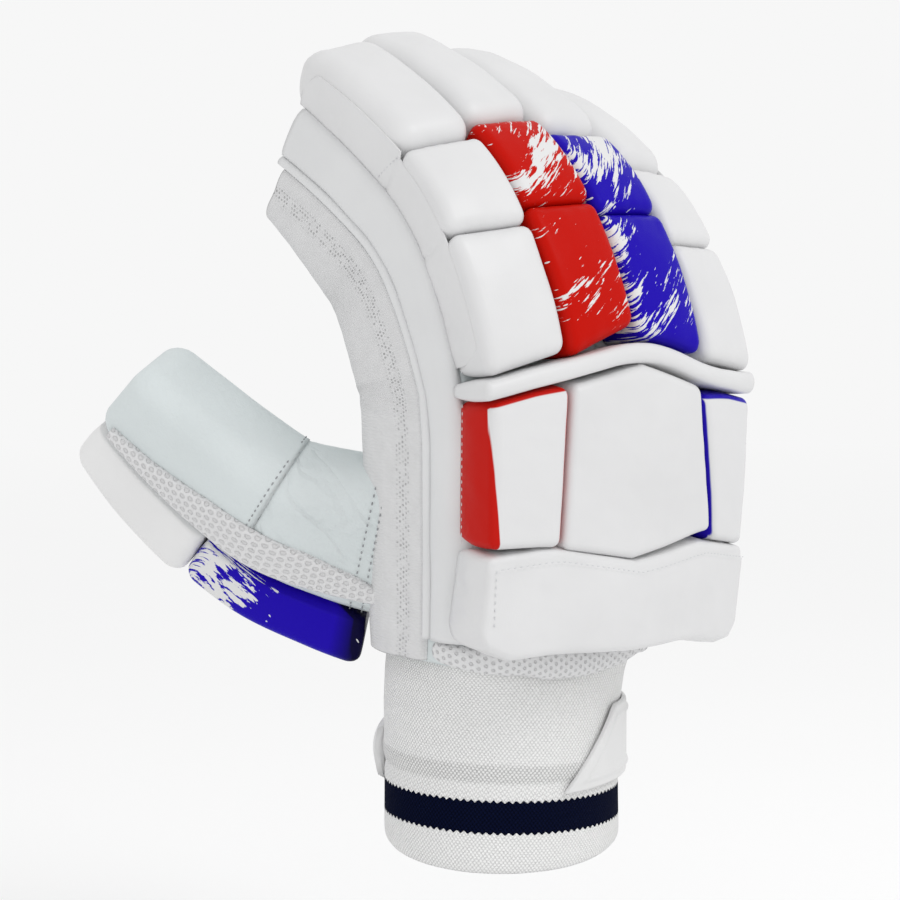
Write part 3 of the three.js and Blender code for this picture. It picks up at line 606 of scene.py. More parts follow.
# White face panel with coloured gussets; the panel's edges are lines x = a + b * y
def gusset_coat(name, color, left, right, bottom, top):
    s = Shader(name, 0.42, 0.1)
    x, y = s.parts(s.lengths)
    inside = 1.0
    for value, (a, b), sign in ((x, left, 1), (x, right, -1)):
        line = s.math("ADD", s.math("MULTIPLY", y, b), a)
        side = s.math("MULTIPLY", s.math("SUBTRACT", value, line), float(sign))
        inside = s.math("MULTIPLY", inside, s.ramp(side, -0.15, 0.15))
    for (a, b), sign in ((bottom, 1), (top, -1)):
        line = s.math("ADD", s.math("MULTIPLY", x, b), a)
        side = s.math("MULTIPLY", s.math("SUBTRACT", y, line), float(sign))
        inside = s.math("MULTIPLY", inside, s.ramp(side, -0.15, 0.15))
    return s.done(s.blend(inside, color, WHITE), leather_coat(s))


# Soft thumb and palm leather, with more or fewer creases along its pieces
def soft_leather(name="soft_leather", wrinkles=0.0):
    s = Shader(name, 0.55, 0.35)
    cells = s.add("TexVoronoi", {"Vector": s.place, "Scale": 1300.0}).outputs["Distance"]
    creases = s.noise(s.place, 160, 4.0, 0.6)
    tone = s.ramp(s.noise(s.place, 30, 4.0), 0.3, 0.7)
    color = s.blend(tone, tuple(c * 0.93 for c in PALE_LEATHER), PALE_LEATHER)
    normal = s.bump(creases, 0.0005, s.bump(cells, 0.00005))
    if wrinkles:
        long = s.noise(s.mapped(s.lengths, (0.085, 0.03, 1), 24), 1.0, 1.5, 0.5)
        ridge = s.math("ABSOLUTE", s.math("SUBTRACT", long, 0.5))
        normal = s.bump(s.ramp(ridge, 0.0, 0.09), wrinkles, normal)
    return s.done(color, normal)


# Distance to the nearest point of a triangular lattice of that pitch, from 0 to about 0.58
def lattice(s, pitch, lengths=None, skew=1.732):
    lengths = s.lengths if lengths is None else lengths
    scaled = s.mapped(lengths, (1 / pitch, 1 / (pitch * skew), 1))
    found = []
    for shift in (0.0, 0.5):
        cell = s.add("VectorMath", {0: scaled, 1: (shift, shift, 0)}, operation="ADD").outputs[0]
        part = s.add("VectorMath", {0: cell}, operation="FRACTION").outputs[0]
        x, y = s.parts(part)
        dx = s.math("SUBTRACT", x, 0.5)
        dy = s.math("MULTIPLY", s.math("SUBTRACT", y, 0.5), skew)
        square = s.math("ADD", s.math("MULTIPLY", dx, dx), s.math("MULTIPLY", dy, dy))
        found.append(s.math("SQRT", square))
    return s.math("MINIMUM", *found)


# Air mesh with round dimples, the dimples painted darker as shade
def air_mesh(name, pitch, dimple_shade=0.72, hole=0.28):
    s = Shader(name, 0.8, 0.2)
    near = lattice(s, pitch)
    open_part = s.ramp(near, hole - 0.06, hole + 0.08)
    thread = s.noise(s.lengths, 3.2, 2.0)
    fibre = lattice(s, 0.7)
    # Painted shade: the dimples take a darker white
    color = s.blend(open_part, tuple(c * dimple_shade for c in WHITE), WHITE)
    normal = s.bump(open_part, 0.00035, s.bump(s.math("ADD", fibre, thread), 0.00008))
    return s.done(color, normal)


# Side mesh: fine ribs across, with a band of slanting holes along its middle, the holes painted darker as shade
def ribbed_mesh(name, middle, reach):
    s = Shader(name, 0.8, 0.2)
    x, y = s.parts(s.lengths)
    ribs = s.math("SINE", s.math("MULTIPLY", y, 2 * math.pi / 1.15))
    dots = s.math("SINE", s.math("MULTIPLY", x, 2 * math.pi / 0.9))
    off = s.math("ABSOLUTE", s.math("SUBTRACT", x, middle))
    band = s.ramp(off, reach, reach * 0.6)
    sheared = s.mapped(s.lengths, (1, 1, 1), 28)
    near = lattice(s, 1.5, sheared, 1.9)
    wobble = s.ramp(s.noise(s.mapped(s.lengths, (0.6, 0.35, 1)), 1.0, 2.0), 0.42, 0.6)
    hole = s.math("MULTIPLY", s.math("MULTIPLY", s.ramp(near, 0.30, 0.16), band), wobble)
    tone = s.ramp(s.noise(s.mapped(s.lengths, (0.25, 0.12, 1)), 1.0, 2.0), 0.3, 0.7, 0.0, 0.5)
    cloth = s.blend(tone, WHITE, tuple(c * 0.9 for c in WHITE))
    # Painted shade: the holes are a darker white
    color = s.blend(hole, cloth, tuple(c * 0.74 for c in WHITE))
    knit = s.math("ADD", s.math("MULTIPLY", ribs, 0.5), s.math("MULTIPLY", dots, 0.25))
    height = s.math("SUBTRACT", knit, s.math("MULTIPLY", hole, 3.0))
    return s.done(color, s.bump(height, 0.00013))


# Knit of small loops in columns of that pitch, with painted shade between the loops
def knit(name, tint, pitch=1.9, loop_shade=0.74, faint=None, shine=0.15):
    s = Shader(name, 0.9, shine)
    wave = s.noise(s.lengths, 0.35, 2.0)
    near = lattice(s, pitch, s.mapped(s.lengths, (1, 1, 1), 3), 1.25)
    fuzz = s.noise(s.lengths, 1.7, 3.0, 0.7)
    loops = s.ramp(s.math("ADD", near, s.math("MULTIPLY", s.math("SUBTRACT", fuzz, 0.5), 0.5)), 0.52, 0.24)
    body = s.blend(s.ramp(wave, 0.3, 0.7, 0.0, 0.35), tint, tuple(c * 0.92 for c in tint))
    # Painted shade: between the loops the tint is darkened
    color = s.blend(loops, tuple(c * loop_shade for c in tint), body)
    if faint:
        _, y = s.parts(s.lengths)
        low, high = faint
        band = s.math("MULTIPLY", s.ramp(y, low, low + 1.4), s.ramp(y, high, high - 1.4))
        grey = s.math("MULTIPLY", band, s.ramp(loops, 1.0, 0.2, 0.15, 0.75))
        color = s.blend(grey, color, tuple(c * 0.5 for c in tint))
    height = s.math("ADD", loops, s.math("MULTIPLY", fuzz, 0.5))
    return s.done(color, s.bump(height, 0.0003))


def thread(name, tint):
    s = Shader(name, 0.7, 0.2)
    twist = s.math("SINE", s.math("MULTIPLY", s.parts(s.place)[1], 9000.0))
    return s.done(tint, s.bump(twist, 0.00003))


WHITE_COAT = white_coat()
# Painted light: a lighter white for the thumb's tip pad, which faces down and gets less light
THUMB_LIT_COAT = white_coat("thumb_coat", (0.76, 0.76, 0.76), 0.5)
STRAP_COAT = white_coat("strap_coat", (0.70, 0.70, 0.70), 0.5)
BAR_COAT = white_coat("bar_coat", (0.69, 0.695, 0.70), 0.5)
RED_PRINT = brushed_coat("red_print", RED, -56, 1.3, (20, 60, 0.06))
BLUE_PRINT = brushed_coat("blue_print", BLUE, -48, 4.1, (60, 88, 0.09))
# The thumb's base pad darkens to near-black at its hand end, lengths 19 to 26 mm: painted shade
THUMB_PRINT = brushed_coat("thumb_print", BLUE, 38, 6.7, (40, 56, 0.10), (19, 26))
SOFT_LEATHER = soft_leather()
WEB_LEATHER = soft_leather("web_leather", 0.00035)
# Both air meshes have painted shade in their dimples
DIMPLE_MESH = air_mesh("dimple_mesh", DIMPLE, 0.9)
TRIM_MESH = air_mesh("trim_mesh", 2.6, 0.82, 0.2)
SIDE_MESH = ribbed_mesh("side_mesh", 10.5, 3.6)
WHITE_KNIT = knit("white_knit", (0.86, 0.86, 0.855), 1.35, 0.78, faint=(29.5, 37))
NAVY_KNIT = knit("navy_knit", NAVY, 1.35, 0.3, shine=0.03)
PALE_THREAD = thread("pale_thread", (0.62, 0.63, 0.64))
DARK_THREAD = thread("dark_thread", (0.30, 0.31, 0.32))

face_stitches = Stitches()
leather_stitches = Stitches()


# Hand, stalls and thumb
def section_marks(palm, flat, back, last_back=1.0):
    marks = [("palm", t) for t in np.linspace(1, 0, palm + 1)]
    marks += [("flat", t) for t in np.linspace(1, 0, flat + 1)[1:-1]]
    return marks + [("back", t) for t in np.linspace(0, last_back, back + 1)]


def hand_ring(z, inset):
    marks = section_marks(9, 9, 6)
    sides = []
    for ray, k in ((index_ray, -1), (little_ray, 1)):
        s = ray.station(z)
        f = ray.at(s)
        points = [world_of(f, k, outline_point(ray.section(s), part, t, inset)) for part, t in marks]
        sides.append(np.array(points))
    left, right = sides[0], sides[1][::-1]
    x0, x1 = rays[0].at(rays[0].station(z))["P"][0], rays[3].at(rays[3].station(z))["P"][0]
    back = on_back(np.linspace(x0, x1, 25), np.full(25, float(z)), np.full(25, -inset))
    arch = PALM_ARCH * np.clip((z - HAND_FOOT) / (KNUCKLE - HAND_FOOT), 0, 1)
    t = np.linspace(1, 0, 26)[1:-1, None]
    palm = left[0] + (right[-1] - left[0]) * t
    palm[:, 1] -= arch * np.sin(math.pi * t[:, 0])
    return np.concatenate([left, back, right, palm])


def palm_creases(rings):
    for row in rings:
        for p in row:
            fade = smooth(8, 30, p[1])
            fold = 0.5 * ripple(p[0] + 0.5 * p[2], p[2], 17, 3) + 0.9 * ripple(p[0] * 0.3, p[2], 30, 8)
            p[1] += fade * fold
    return rings


def hand():
    heights = np.linspace(KNUCKLE - 0.9, HAND_FOOT, 70)
    hem = [(0, 2.0), (0.25, 1.2), (0.8, 0.5), (1.8, 0.1)]
    outer = [hand_ring(heights[0] - dz, inset) for dz, inset in hem]
    outer += [hand_ring(z, 0) for z in heights if z < heights[0] - 2]
    inner = [hand_ring(z, LEATHER) for z in np.linspace(HAND_FOOT, KNUCKLE - 0.9, 20)]
    o = tube("hand_leather", palm_creases(outer) + inner, SOFT_LEATHER, closed=True,
             replaced=["hand"], slot="leather")
    cloth(o, 310, KNUCKLE - HAND_FOOT)


def tube_ring(ray, s, inset, marks):
    f, section = ray.at(s), ray.section(s)
    points = lambda k: np.array([world_of(f, k, outline_point(section, part, t, inset)) for part, t in marks])
    return np.concatenate([points(-1), points(1)[::-1]])


def end_cap(ray, end, marks, rounding, count=6):
    rings = []
    for a in np.linspace(0, math.pi / 2, count + 1)[1:]:
        rings.append(tube_ring(ray, end - rounding + rounding * math.sin(a), rounding * (1 - math.cos(a)), marks))
    return rings


def stall(ray, mouth, end, name, replaced, rounding=5.0):
    marks = section_marks(7, 7, 4, 0.9)
    stations = np.linspace(mouth, end - rounding, max(20, int((end - mouth) / 2.5)))
    outer = [tube_ring(ray, s, 0, marks) for s in stations] + end_cap(ray, end, marks, rounding)
    inner = [tube_ring(ray, s, LEATHER, marks) for s in stations[::-4]]
    rings = inner + outer
    return tube(name, rings, SOFT_LEATHER, replaced=[replaced], slot="leather")


def roll_pad(ray, name, start, end, slant, width, thick, tip_thick, rounding, crown, material, gather=0.5, **facts):
    length = end - start

    def at(u, v):
        along = start + v * length
        return (u - 0.5) * width(along), along + slant * (u - 0.5) * (1 - v)

    def place(x, s, h):
        f = ray.at(s)
        return f["P"] + f["B"] * column(x * (1 + ROLL_FLARE * h)) + f["N"] * column(h + SEAT)

    # Slow dents in the face, and short gathers that run in from the seams at either end
    def relief(u, v, x, s):
        seed = len(name) + round(start)
        ends = np.exp(-v * length / 3.5) + np.exp(-(1 - v) * length / 3.5)
        gathers = gather * ripple(x, 0 * x, 5.5, seed + 1) * ends
        return 0.36 * ripple(x, s, 22, seed) + gathers

    o = pad(name, at, place, width((start + end) / 2), length, lambda u, v: mixed(thick, tip_thick, v ** 1.6),
            rounding, material, crown=crown, belly=0.2, relief=relief, **facts)


# Height of a finger's rolls at s, from the first one's foot to the last one's tip
def roll_height(ray, s):
    for r in ROLLS:
        start, end = roll_at(ray, r["start"]), roll_at(ray, r["end"])
        if s <= end or r is ROLLS[-1]:
            v = np.clip((s - start) / (end - start), 0, 1)
            return mixed(r["thick"], r["tip_thick"], v ** 1.6)


# The leather side wall that all rolls of a finger share, sewn down to the bar at its foot
def side_wall(ray, side):
    start, end = roll_at(ray, 0) + 2.5, roll_at(ray, ROLLS[-1]["end"]) - 6.5
    seams = [roll_at(ray, r["end"]) for r in ROLLS[:-1]]
    rings = []
    stations = np.linspace(start, end, round((end - start) / 0.7))
    for s in stations:
        ends = smooth(0, 5, s - start) * smooth(0, 7, end - s)
        dip = max(math.exp(-((s - seam) / 0.9) ** 2) for seam in seams)
        top = mixed(roll_height(ray, s) - 4.6, 4, 1 - ends ** 0.5)
        heights = np.linspace(-1.2, top, 16)
        share = np.linspace(0, 1, 16)
        wave = 0.16 * ripple(s + 0 * heights, heights, 13, 21) + 0.1 * ripple(s + 0 * heights, heights, 5, 22)
        lift = (0.75 + wave - 0.45 * dip) * (1 - share ** 5) * (0.2 + 0.8 * ends) + 0.06
        f = ray.at(s)
        place = lambda h, out: (f["P"] + f["N"] * column(h + SEAT)
                                + f["B"] * column(side * (ray.width / 2 + out) * (1 + ROLL_FLARE * h)))
        rings.append(np.concatenate([place(heights, lift), place(heights[::-1], -0.5 + 0 * lift)]))
    o = tube(f"{ray.name}_wall_{'left' if side < 0 else 'right'}", np.array(rings), WHITE_COAT,
             uv_rows=stations, slot="padding")
    cloth(o, 14, end - start, rests_on=[f"{ray.name}_{r['name']}_roll" for r in ROLLS])


# Stitched seam down a side wall, between two rolls
def wall_seam(ray, side, s, lean):
    heights = np.linspace(0.5, 13, 30)
    f = ray.at(s + lean * (heights / 13 - 1))
    path = f["P"] + f["N"] * column(heights + SEAT) + f["B"] * column(side * (ray.width / 2 + 1.0))
    face_stitches.line(path, f["B"] * side, 2.0, 1.1, 0.22)


def finger_rolls():
    prints = {"middle": RED_PRINT, "ring": BLUE_PRINT}
    slots = {"middle": "red_print", "ring": "blue_print"}
    for ray in rays:
        for r in ROLLS:
            tip = r["name"] == "tip"
            printed = ray.name in prints and not tip
            node = f"{ray.name}_{r['name']}_roll"
            roll_pad(
                ray, node + "_skin", roll_at(ray, r["start"]) + ROLL_GAP / 2, roll_at(ray, r["end"]) - ROLL_GAP / 2,
                ray.slant if r["name"] == "base" else 0, lambda s: ray.width + 0 * s, r["thick"], r["tip_thick"],
                7 if tip else 3.6, 2 if tip else 1.5, prints[ray.name] if printed else WHITE_COAT,
                replaced=[node], slot=slots[ray.name] if printed else "padding",
            )
    for side in (-1, 1):
        side_wall(index_ray if side < 0 else little_ray, side)
    for r in ROLLS[1:2]:
        wall_seam(index_ray, -1, roll_at(index_ray, r["end"]), -5)


# Side bars, piping and mesh of the two outer fingers
def pillow(low, high, base, thick, count=14, power=3.0):
    t = np.linspace(0, 1, count + 1)
    bulge = (1 - np.abs(2 * t - 1) ** power) ** (1 / power)
    return [(low, base)] + [(mixed(low, high, a), base + thick * max(b, 0.05)) for a, b in zip(t, bulge)] + [(high, base)]


def bar_end(ray, s):
    return mixed(5, 14, np.clip((s + 80) / (ray.length + 80), 0, 1))


def swept(name, stations, section, place, material, taper=0.0, **facts):
    rings = []
    for k, s in enumerate(stations):
        rings.append([place(s, u, lift) for u, lift in section(s)])
    return tube(name, np.array(rings), material, uv_rows=stations, **facts)


def side_of(ray, side):
    place = lambda s, u, lift: on_side(ray, side, u, s, lift)
    stations = np.linspace(-BAR_RUN - 3, ray.length, 120)

    def bar(s):
        dent = 0.25 * math.sin(s / 9.0) + 0.15 * math.sin(s / 4.1 + 1)
        low = -3.6 - 8 * smooth(0, 30, -s)
        return pillow(low, bar_end(ray, s) + 0.4, 0.1, BAR_THICK + dent)

    o = swept(f"{ray.name}_bar_skin", stations, bar, place, BAR_COAT,
              replaced=[f"{ray.name}_side_bar"], slot="padding")

    def pipe(s):
        r = PIPING / 2 + 0.25
        angles = np.linspace(0, 2 * math.pi, 17)[:-1]
        return [(bar_end(ray, s) + r - 0.2 + r * math.cos(a), 0.1 + r + r * math.sin(a)) for a in angles]

    swept(f"{ray.name}_piping_skin", stations, pipe, place, BAR_COAT,
          replaced=[f"{ray.name}_piping"], slot="padding")

    # The air mesh reaches round to the palm side, and lies flatter along its middle
    mesh_stations = np.linspace(-BAR_RUN - 11, ray.length - 3, 130)

    def mesh(s):
        low = bar_end(ray, s) + PIPING + SEAT
        high = np.interp(s / ray.length, (-0.8, -0.3, 0.05, 0.7, 1), (42, 41, 42, 40, 36))
        points = pillow(low - 0.4, high, 0.1, MESH_THICK + 0.5, 34, 4)
        wave = lambda u: 0.2 * float(ripple(s, u, 17, 31))
        groove = [0.5 * math.exp(-((u - low - 8.5) / 3.4) ** 2) + wave(u) for u, _ in points]
        return [(u, max(lift - g, 0.1)) for (u, lift), g in zip(points, groove)]

    o = swept(f"{ray.name}_mesh_skin", mesh_stations, mesh, place, SIDE_MESH,
              replaced=[f"{ray.name}_mesh_strip"], slot="air_mesh")
    cloth(o, 28, ray.length + BAR_RUN + 12, rests_on=[f"{ray.name}_stall", "hand"])
    for shift, lift in ((-0.7, 1.5), (PIPING + 0.9, 1.9)):
        line = np.linspace(-78, ray.length - 6, 160)
        path = np.array([place(s, bar_end(ray, s) + shift, lift) for s in line])
        over = path - np.array([place(s, bar_end(ray, s) + shift, -4) for s in line])
        face_stitches.line(path, over, 2.6, 1.5, 0.16)
    line = np.linspace(ray.start, ray.length * 0.66, 120)
    path = np.array([place(s, -3.9, 2.7) for s in line])
    over = path - np.array([place(s, -3.9, -2) for s in line])
    face_stitches.line(path, over, 2.4, 1.3, 0.22)


# Pads on the back of the hand
def place_back(x, z, h):
    return on_back(x, z, h + SEAT)


# Rows of (u, over, up) as [u, x, z]: over is the share of the way from the index finger's ray
# to the little finger's, and up that from the hand's lower rim to the knuckles
def hand_rows(rows):
    u, over, up = np.array(rows, float).T
    x = mixed(FINGERS[0]["x"], FINGERS[3]["x"], over)
    return np.stack([u, x, mixed(HAND_FOOT, KNUCKLE, up)], 1)


def between(lower, upper):

    def at(u, v):
        low = [np.interp(u, lower[:, 0], lower[:, k]) for k in (1, 2)]
        high = [np.interp(u, upper[:, 0], upper[:, k]) for k in (1, 2)]
        return mixed(low[0], high[0], v), mixed(low[1], high[1], v)

    return at


BACK_PADS = [
    dict(name="index_back_pad", width=22, length=46,
         lower=[(0, -0.145, 0.478), (1, 0.147, 0.443)], upper=[(0, -0.168, 0.967), (1, 0.152, 0.991)]),
    dict(name="middle_back_pad", width=68, length=52,
         lower=[(0, 0.157, 0.435), (0.46, 0.475, 0.377), (1, 0.928, 0.448)],
         upper=[(0, 0.162, 0.991), (0.52, 0.492, 1.044), (1, 0.794, 0.967)]),
    dict(name="little_back_pad", width=25, length=46,
         lower=[(0, 0.956, 0.418), (1, 1.186, 0.418)], upper=[(0, 0.817, 0.94), (1, 1.147, 0.934)]),
    dict(name="wrist_panel", width=124, length=33,
         lower=[(0, -0.179, 0.19), (0.04, -0.15, 0.135), (0.12, -0.05, 0.08), (0.5, 0.47, 0.044), (0.88, 1.05, 0.04),
                (0.95, 1.14, 0.06), (1, 1.197, 0.14)],
         upper=[(0, -0.185, 0.437), (0.26, 0.134, 0.424), (0.5, 0.492, 0.354), (0.76, 0.861, 0.391), (1, 1.202, 0.396)]),
]


def back_pads():
    red_gusset = gusset_coat("red_gusset", RED, (-35.85, -0.1236), (-28.1, 0.003), (60, 0), (162.0, 0.077))
    blue_gusset = gusset_coat("blue_gusset", BLUE, (73.7, -0.2545), (95, 0), (60, 0), (156.0, -0.02))
    coats = {"index_back_pad": red_gusset, "little_back_pad": blue_gusset}
    for p in BACK_PADS:
        wrist = p["name"] == "wrist_panel"
        thick = WRIST_PAD if wrist else BACK_PAD
        lower, upper = hand_rows(p["lower"]), hand_rows(p["upper"])
        if wrist:
            upper[0, 1] += 3
            upper[:, 2] += 1.5

        def relief(u, v, x, z, wrist=wrist, upper=upper):
            h = 0.3 * ripple(x, z, 30, 11) + 0.12 * ripple(x, z, 9, 12)
            if wrist:
                top = np.interp(x, upper[:, 1], upper[:, 2])
                h = h - 0.9 * smooth(-3.6, -2.8, z - top) - 0.35 * np.exp(-((z - top + 3.4) / 0.5) ** 2)
            return h

        o = pad(p["name"] + "_skin", between(lower, upper), place_back, p["width"], p["length"],
                lambda u, v, thick=thick: thick + 0 * u, 2.8, coats.get(p["name"], WHITE_COAT), crown=1,
                relief=relief, replaced=[p["name"]], slot="padding", pitch=1.2, belly=0.75,
                crumple=0.9 if wrist else 0.3)
        if wrist:
            line = np.linspace(upper[0, 1] + 2, upper[-1, 1] - 2, 120)
            top = np.interp(line, upper[:, 1], upper[:, 2])
            seam(line, top - 3.4, thick + 1.1)
            seam(np.full(60, upper[0, 1] + 1.6), np.linspace(upper[0, 2] - 3, lower[0, 2] + 1, 60), thick + 0.5)
        if p["name"] == "index_back_pad":
            seam(np.linspace(upper[0, 1], lower[0, 1], 60) - 0.9, np.linspace(upper[0, 2], lower[0, 2], 60), 3)


# Stitches along a line on the back of the hand
def seam(x, z, h):
    path = place_back(x, z, h)
    face_stitches.line(path, path - place_back(x, z, h - 3), 2.4, 1.2, 0.2)


WELT = [(0, -0.201, 1.002), (0.23, 0.078, 1.022), (0.36, 0.268, 1.055), (0.5, 0.459, 1.081), (0.63, 0.638, 1.057),
        (0.76, 0.817, 0.998), (0.88, 1.007, 0.971), (1, 1.147, 0.974)]


def knuckle_welt():
    line = hand_rows(WELT)
    fine = np.linspace(0, 1, 60)
    x, z = (np.interp(fine, line[:, 0], line[:, k]) for k in (1, 2))
    soft = np.convolve(np.pad(z, 4, mode="edge"), np.ones(9) / 9, "valid")
    edge = lambda side: np.stack([fine, x, soft + side * WELT_WIDTH / 2], 1)
    o = pad("knuckle_welt_skin", between(edge(-1), edge(1)), lambda x, z, h: place_back(x, z, h + 0.3),
            128, WELT_WIDTH, lambda u, v: WELT_HEIGHT + 0 * u, WELT_WIDTH / 2.05, WHITE_COAT,
            foot=0.3, belly=0.45, replaced=["knuckle_welt"], slot="padding")


# Mesh trim below the wrist panel, from one side of the hand round to the other
def round_hand(t, z, out):
    if abs(t) < 0.7:
        a, b = (r.at(r.station(z))["P"][0] for r in (index_ray, little_ray))
        return on_back(mixed(a, b, 0.5 + t / 1.4), z, out)
    ray = index_ray if t < 0 else little_ray
    share = (abs(t) - 0.85) / 0.15 if abs(t) > 0.85 else (abs(t) - 0.7) / 0.15
    part, mark = ("flat", share * 0.4) if abs(t) > 0.85 else ("back", 1 - share)
    section = ray.section(-ray.hand_length)
    return world_of(ray.at(ray.station(z)), np.sign(t), outline_point(section, part, mark, -out))


def wrist_trim():
    height = lambda share: mixed(HAND_FOOT, KNUCKLE, share)
    top = lambda t: height(np.interp(t, (-0.87, -0.6, 0, 0.6, 0.8), (0.093, 0.055, 0.022, 0.015, 0.03)))
    foot = lambda t: height(np.interp(t, (-0.87, -0.7, -0.4, 0, 0.5, 0.8), (0.022, -0.044, -0.077, -0.088, -0.071, -0.03)))
    stations = np.linspace(-0.87, 0.8, 120)
    rings = [[round_hand(t, z, out) for z, out in pillow(foot(t), top(t), 0.1, 3.5, 14, 2.6)] for t in stations]
    middle = np.array(rings).mean(1)
    run = np.concatenate([[0], np.cumsum(np.linalg.norm(np.diff(middle, axis=0), axis=1))])
    o = tube("wrist_trim_skin", np.array(rings), TRIM_MESH, uv_rows=run, replaced=["wrist_mesh_trim"], slot="air_mesh")
    cloth(o, 11, run[-1], rests_on=["hand"])


# Cuff
def hem_rise(x, y, z):
    x, y = x / (CUFF_WIDTH / 2), y / (CUFF_DEPTH / 2)
    drop = HEM_DROP * np.maximum(0, 1 - z / STRIPE_BOTTOM)
    return z - HEM_SIDE_RISE * x + HEM_PALM_RISE * y + drop * (0.95 + (x + y) * math.sqrt(0.5))


CUFF_COLUMNS = 480


def cuff_ring(z, blend, inset, lift=0.0):
    a = np.linspace(math.pi / 2, math.pi * 2.5, CUFF_COLUMNS, endpoint=False)
    x = (CUFF_WIDTH / 2 - inset) * np.cos(a)
    y = (CUFF_DEPTH / 2 - inset) * np.sin(a)
    oval = np.stack([x, y, hem_rise(x, y, z) + lift], 1)
    if blend == 1:
        return oval
    top = hand_ring(max(z, HAND_FOOT), LEATHER + SEAT + float(np.mean(inset)))
    angle = np.arctan2(top[:, 1] / CUFF_DEPTH, top[:, 0] / CUFF_WIDTH)
    order = np.argsort(angle)
    even = [np.interp(a, angle[order], top[order, k], period=2 * math.pi) for k in range(3)]
    ring = np.stack(even, 1)
    ring[:, 2] = mixed(ring[:, 2] + min(0, z - HAND_FOOT), oval[:, 2], blend)
    ring[:, :2] = mixed(ring[:, :2], oval[:, :2], blend)
    return ring


def zigzag():
    teeth = round(math.pi * (CUFF_WIDTH + CUFF_DEPTH) / 2 / TOOTH)
    k = np.linspace(0, teeth, CUFF_COLUMNS, endpoint=False) % 1
    return TOOTH_DEPTH * (1 - np.abs(2 * k - 1) * 2) / 2


def cuff():
    stripe_top = STRIPE_BOTTOM + STRIPE_HEIGHT
    teeth = zigzag()
    girth = math.pi * (CUFF_WIDTH + CUFF_DEPTH) / 2
    bands = [
        ("cuff_hem", 0, STRIPE_BOTTOM, 0 * teeth, teeth, WHITE_KNIT, "knit"),
        ("cuff_stripe", STRIPE_BOTTOM, stripe_top, teeth, teeth, NAVY_KNIT, "navy_knit"),
        ("cuff_sleeve", stripe_top, 76, teeth, 0 * teeth, WHITE_KNIT, "knit"),
    ]
    blend = lambda z: 1 if z <= 50 else float(np.interp(z, (50, 62, 71), (1, 0.6, 0)))
    angle = np.linspace(0, 2 * math.pi, CUFF_COLUMNS, endpoint=False)
    for name, low, high, foot, top, material, slot in bands:
        heights = np.linspace(low, high, max(12, round((high - low) / 0.9)))
        rings = []
        for z in heights:
            t = (z - low) / (high - low)
            lift = foot * max(0, 1 - t * 6) + top * max(0, 1 - (1 - t) * 6)
            fold = 0.5 * math.exp(-((z - 34.5) / 2.4) ** 2) - 0.45 * math.exp(-((z - 29.5) / 1.5) ** 2)
            roll = 1.3 * math.exp(-z / 1.4) if name == "cuff_hem" else 0
            waves = 0.35 * ripple(40 * np.sin(angle), z + 40 * np.cos(angle), 38, 17)
            rings.append(cuff_ring(z, blend(z), roll - fold - waves, lift))
        inner = [cuff_ring(z, blend(z), KNIT, foot * (z == low) + top * (z == high)) for z in heights[::-3]]
        o = tube(name + "_knit", rings + inner, material, closed=True, uv_cols=np.linspace(0, girth, CUFF_COLUMNS + 1),
                 uv_rows=np.concatenate([heights, heights[::-3]]), replaced=[name], slot=slot)
        cloth(o, girth, high - low)


# Wrist strap and its tab; angles in degrees, 0 towards +X
def round_cuff(angle, z, out):
    a = np.radians(angle)
    return np.stack([(CUFF_WIDTH / 2 + out) * np.cos(a), (CUFF_DEPTH / 2 + out) * np.sin(a), z + 0 * a], -1)


def strap():
    stations = np.linspace(-18, 136, 90)
    bulge = lambda angle: 4 * math.exp(-(((angle - 122) / 14) ** 2))
    height = lambda angle: STRAP_HEIGHT - 6 * np.clip((angle - 95) / 40, 0, 1)
    rings = []
    for angle in stations:
        section = pillow(STRAP_BOTTOM, STRAP_BOTTOM + height(angle), 0.2, STRAP_THICK, 16, 8)
        bow = lambda z: math.sin(math.pi * np.clip((z - STRAP_BOTTOM) / height(angle), 0.02, 0.98)) ** 0.7
        rings.append([round_cuff(angle, z, out + bulge(angle) * bow(z)) for z, out in section])
    o = tube("wrist_strap_skin", np.array(rings), STRAP_COAT, replaced=["wrist_strap"], slot="strap")
    cloth(o, STRAP_HEIGHT - 2, 118, rests_on=["cuff_sleeve"])

    # A raised border runs inside the tab's edge, and its field is plain
    def relief(u, v, x, z):
        inward = np.minimum(np.minimum(v, 1 - v) * 26, u * 50)
        return 0.8 * np.exp(-((inward - 3.8) / 0.9) ** 2) + 0.12 * smooth(4, 6, inward)

    low, high = STRAP_BOTTOM - 1, STRAP_BOTTOM + STRAP_HEIGHT + 1
    pad("strap_tab_skin", between(np.array([(0, -100, low), (1, -19, low)]), np.array([(0, -64, high), (1, -19, high)])),
        lambda a, z, h: round_cuff(a, z, h + 2 * SEAT), 50, 26, lambda u, v: TAB_THICK + 0 * u, 1.2, STRAP_COAT,
        foot=0.1, belly=0.1, pitch=0.6, relief=relief, walls=3, replaced=["strap_tab"], slot="strap")


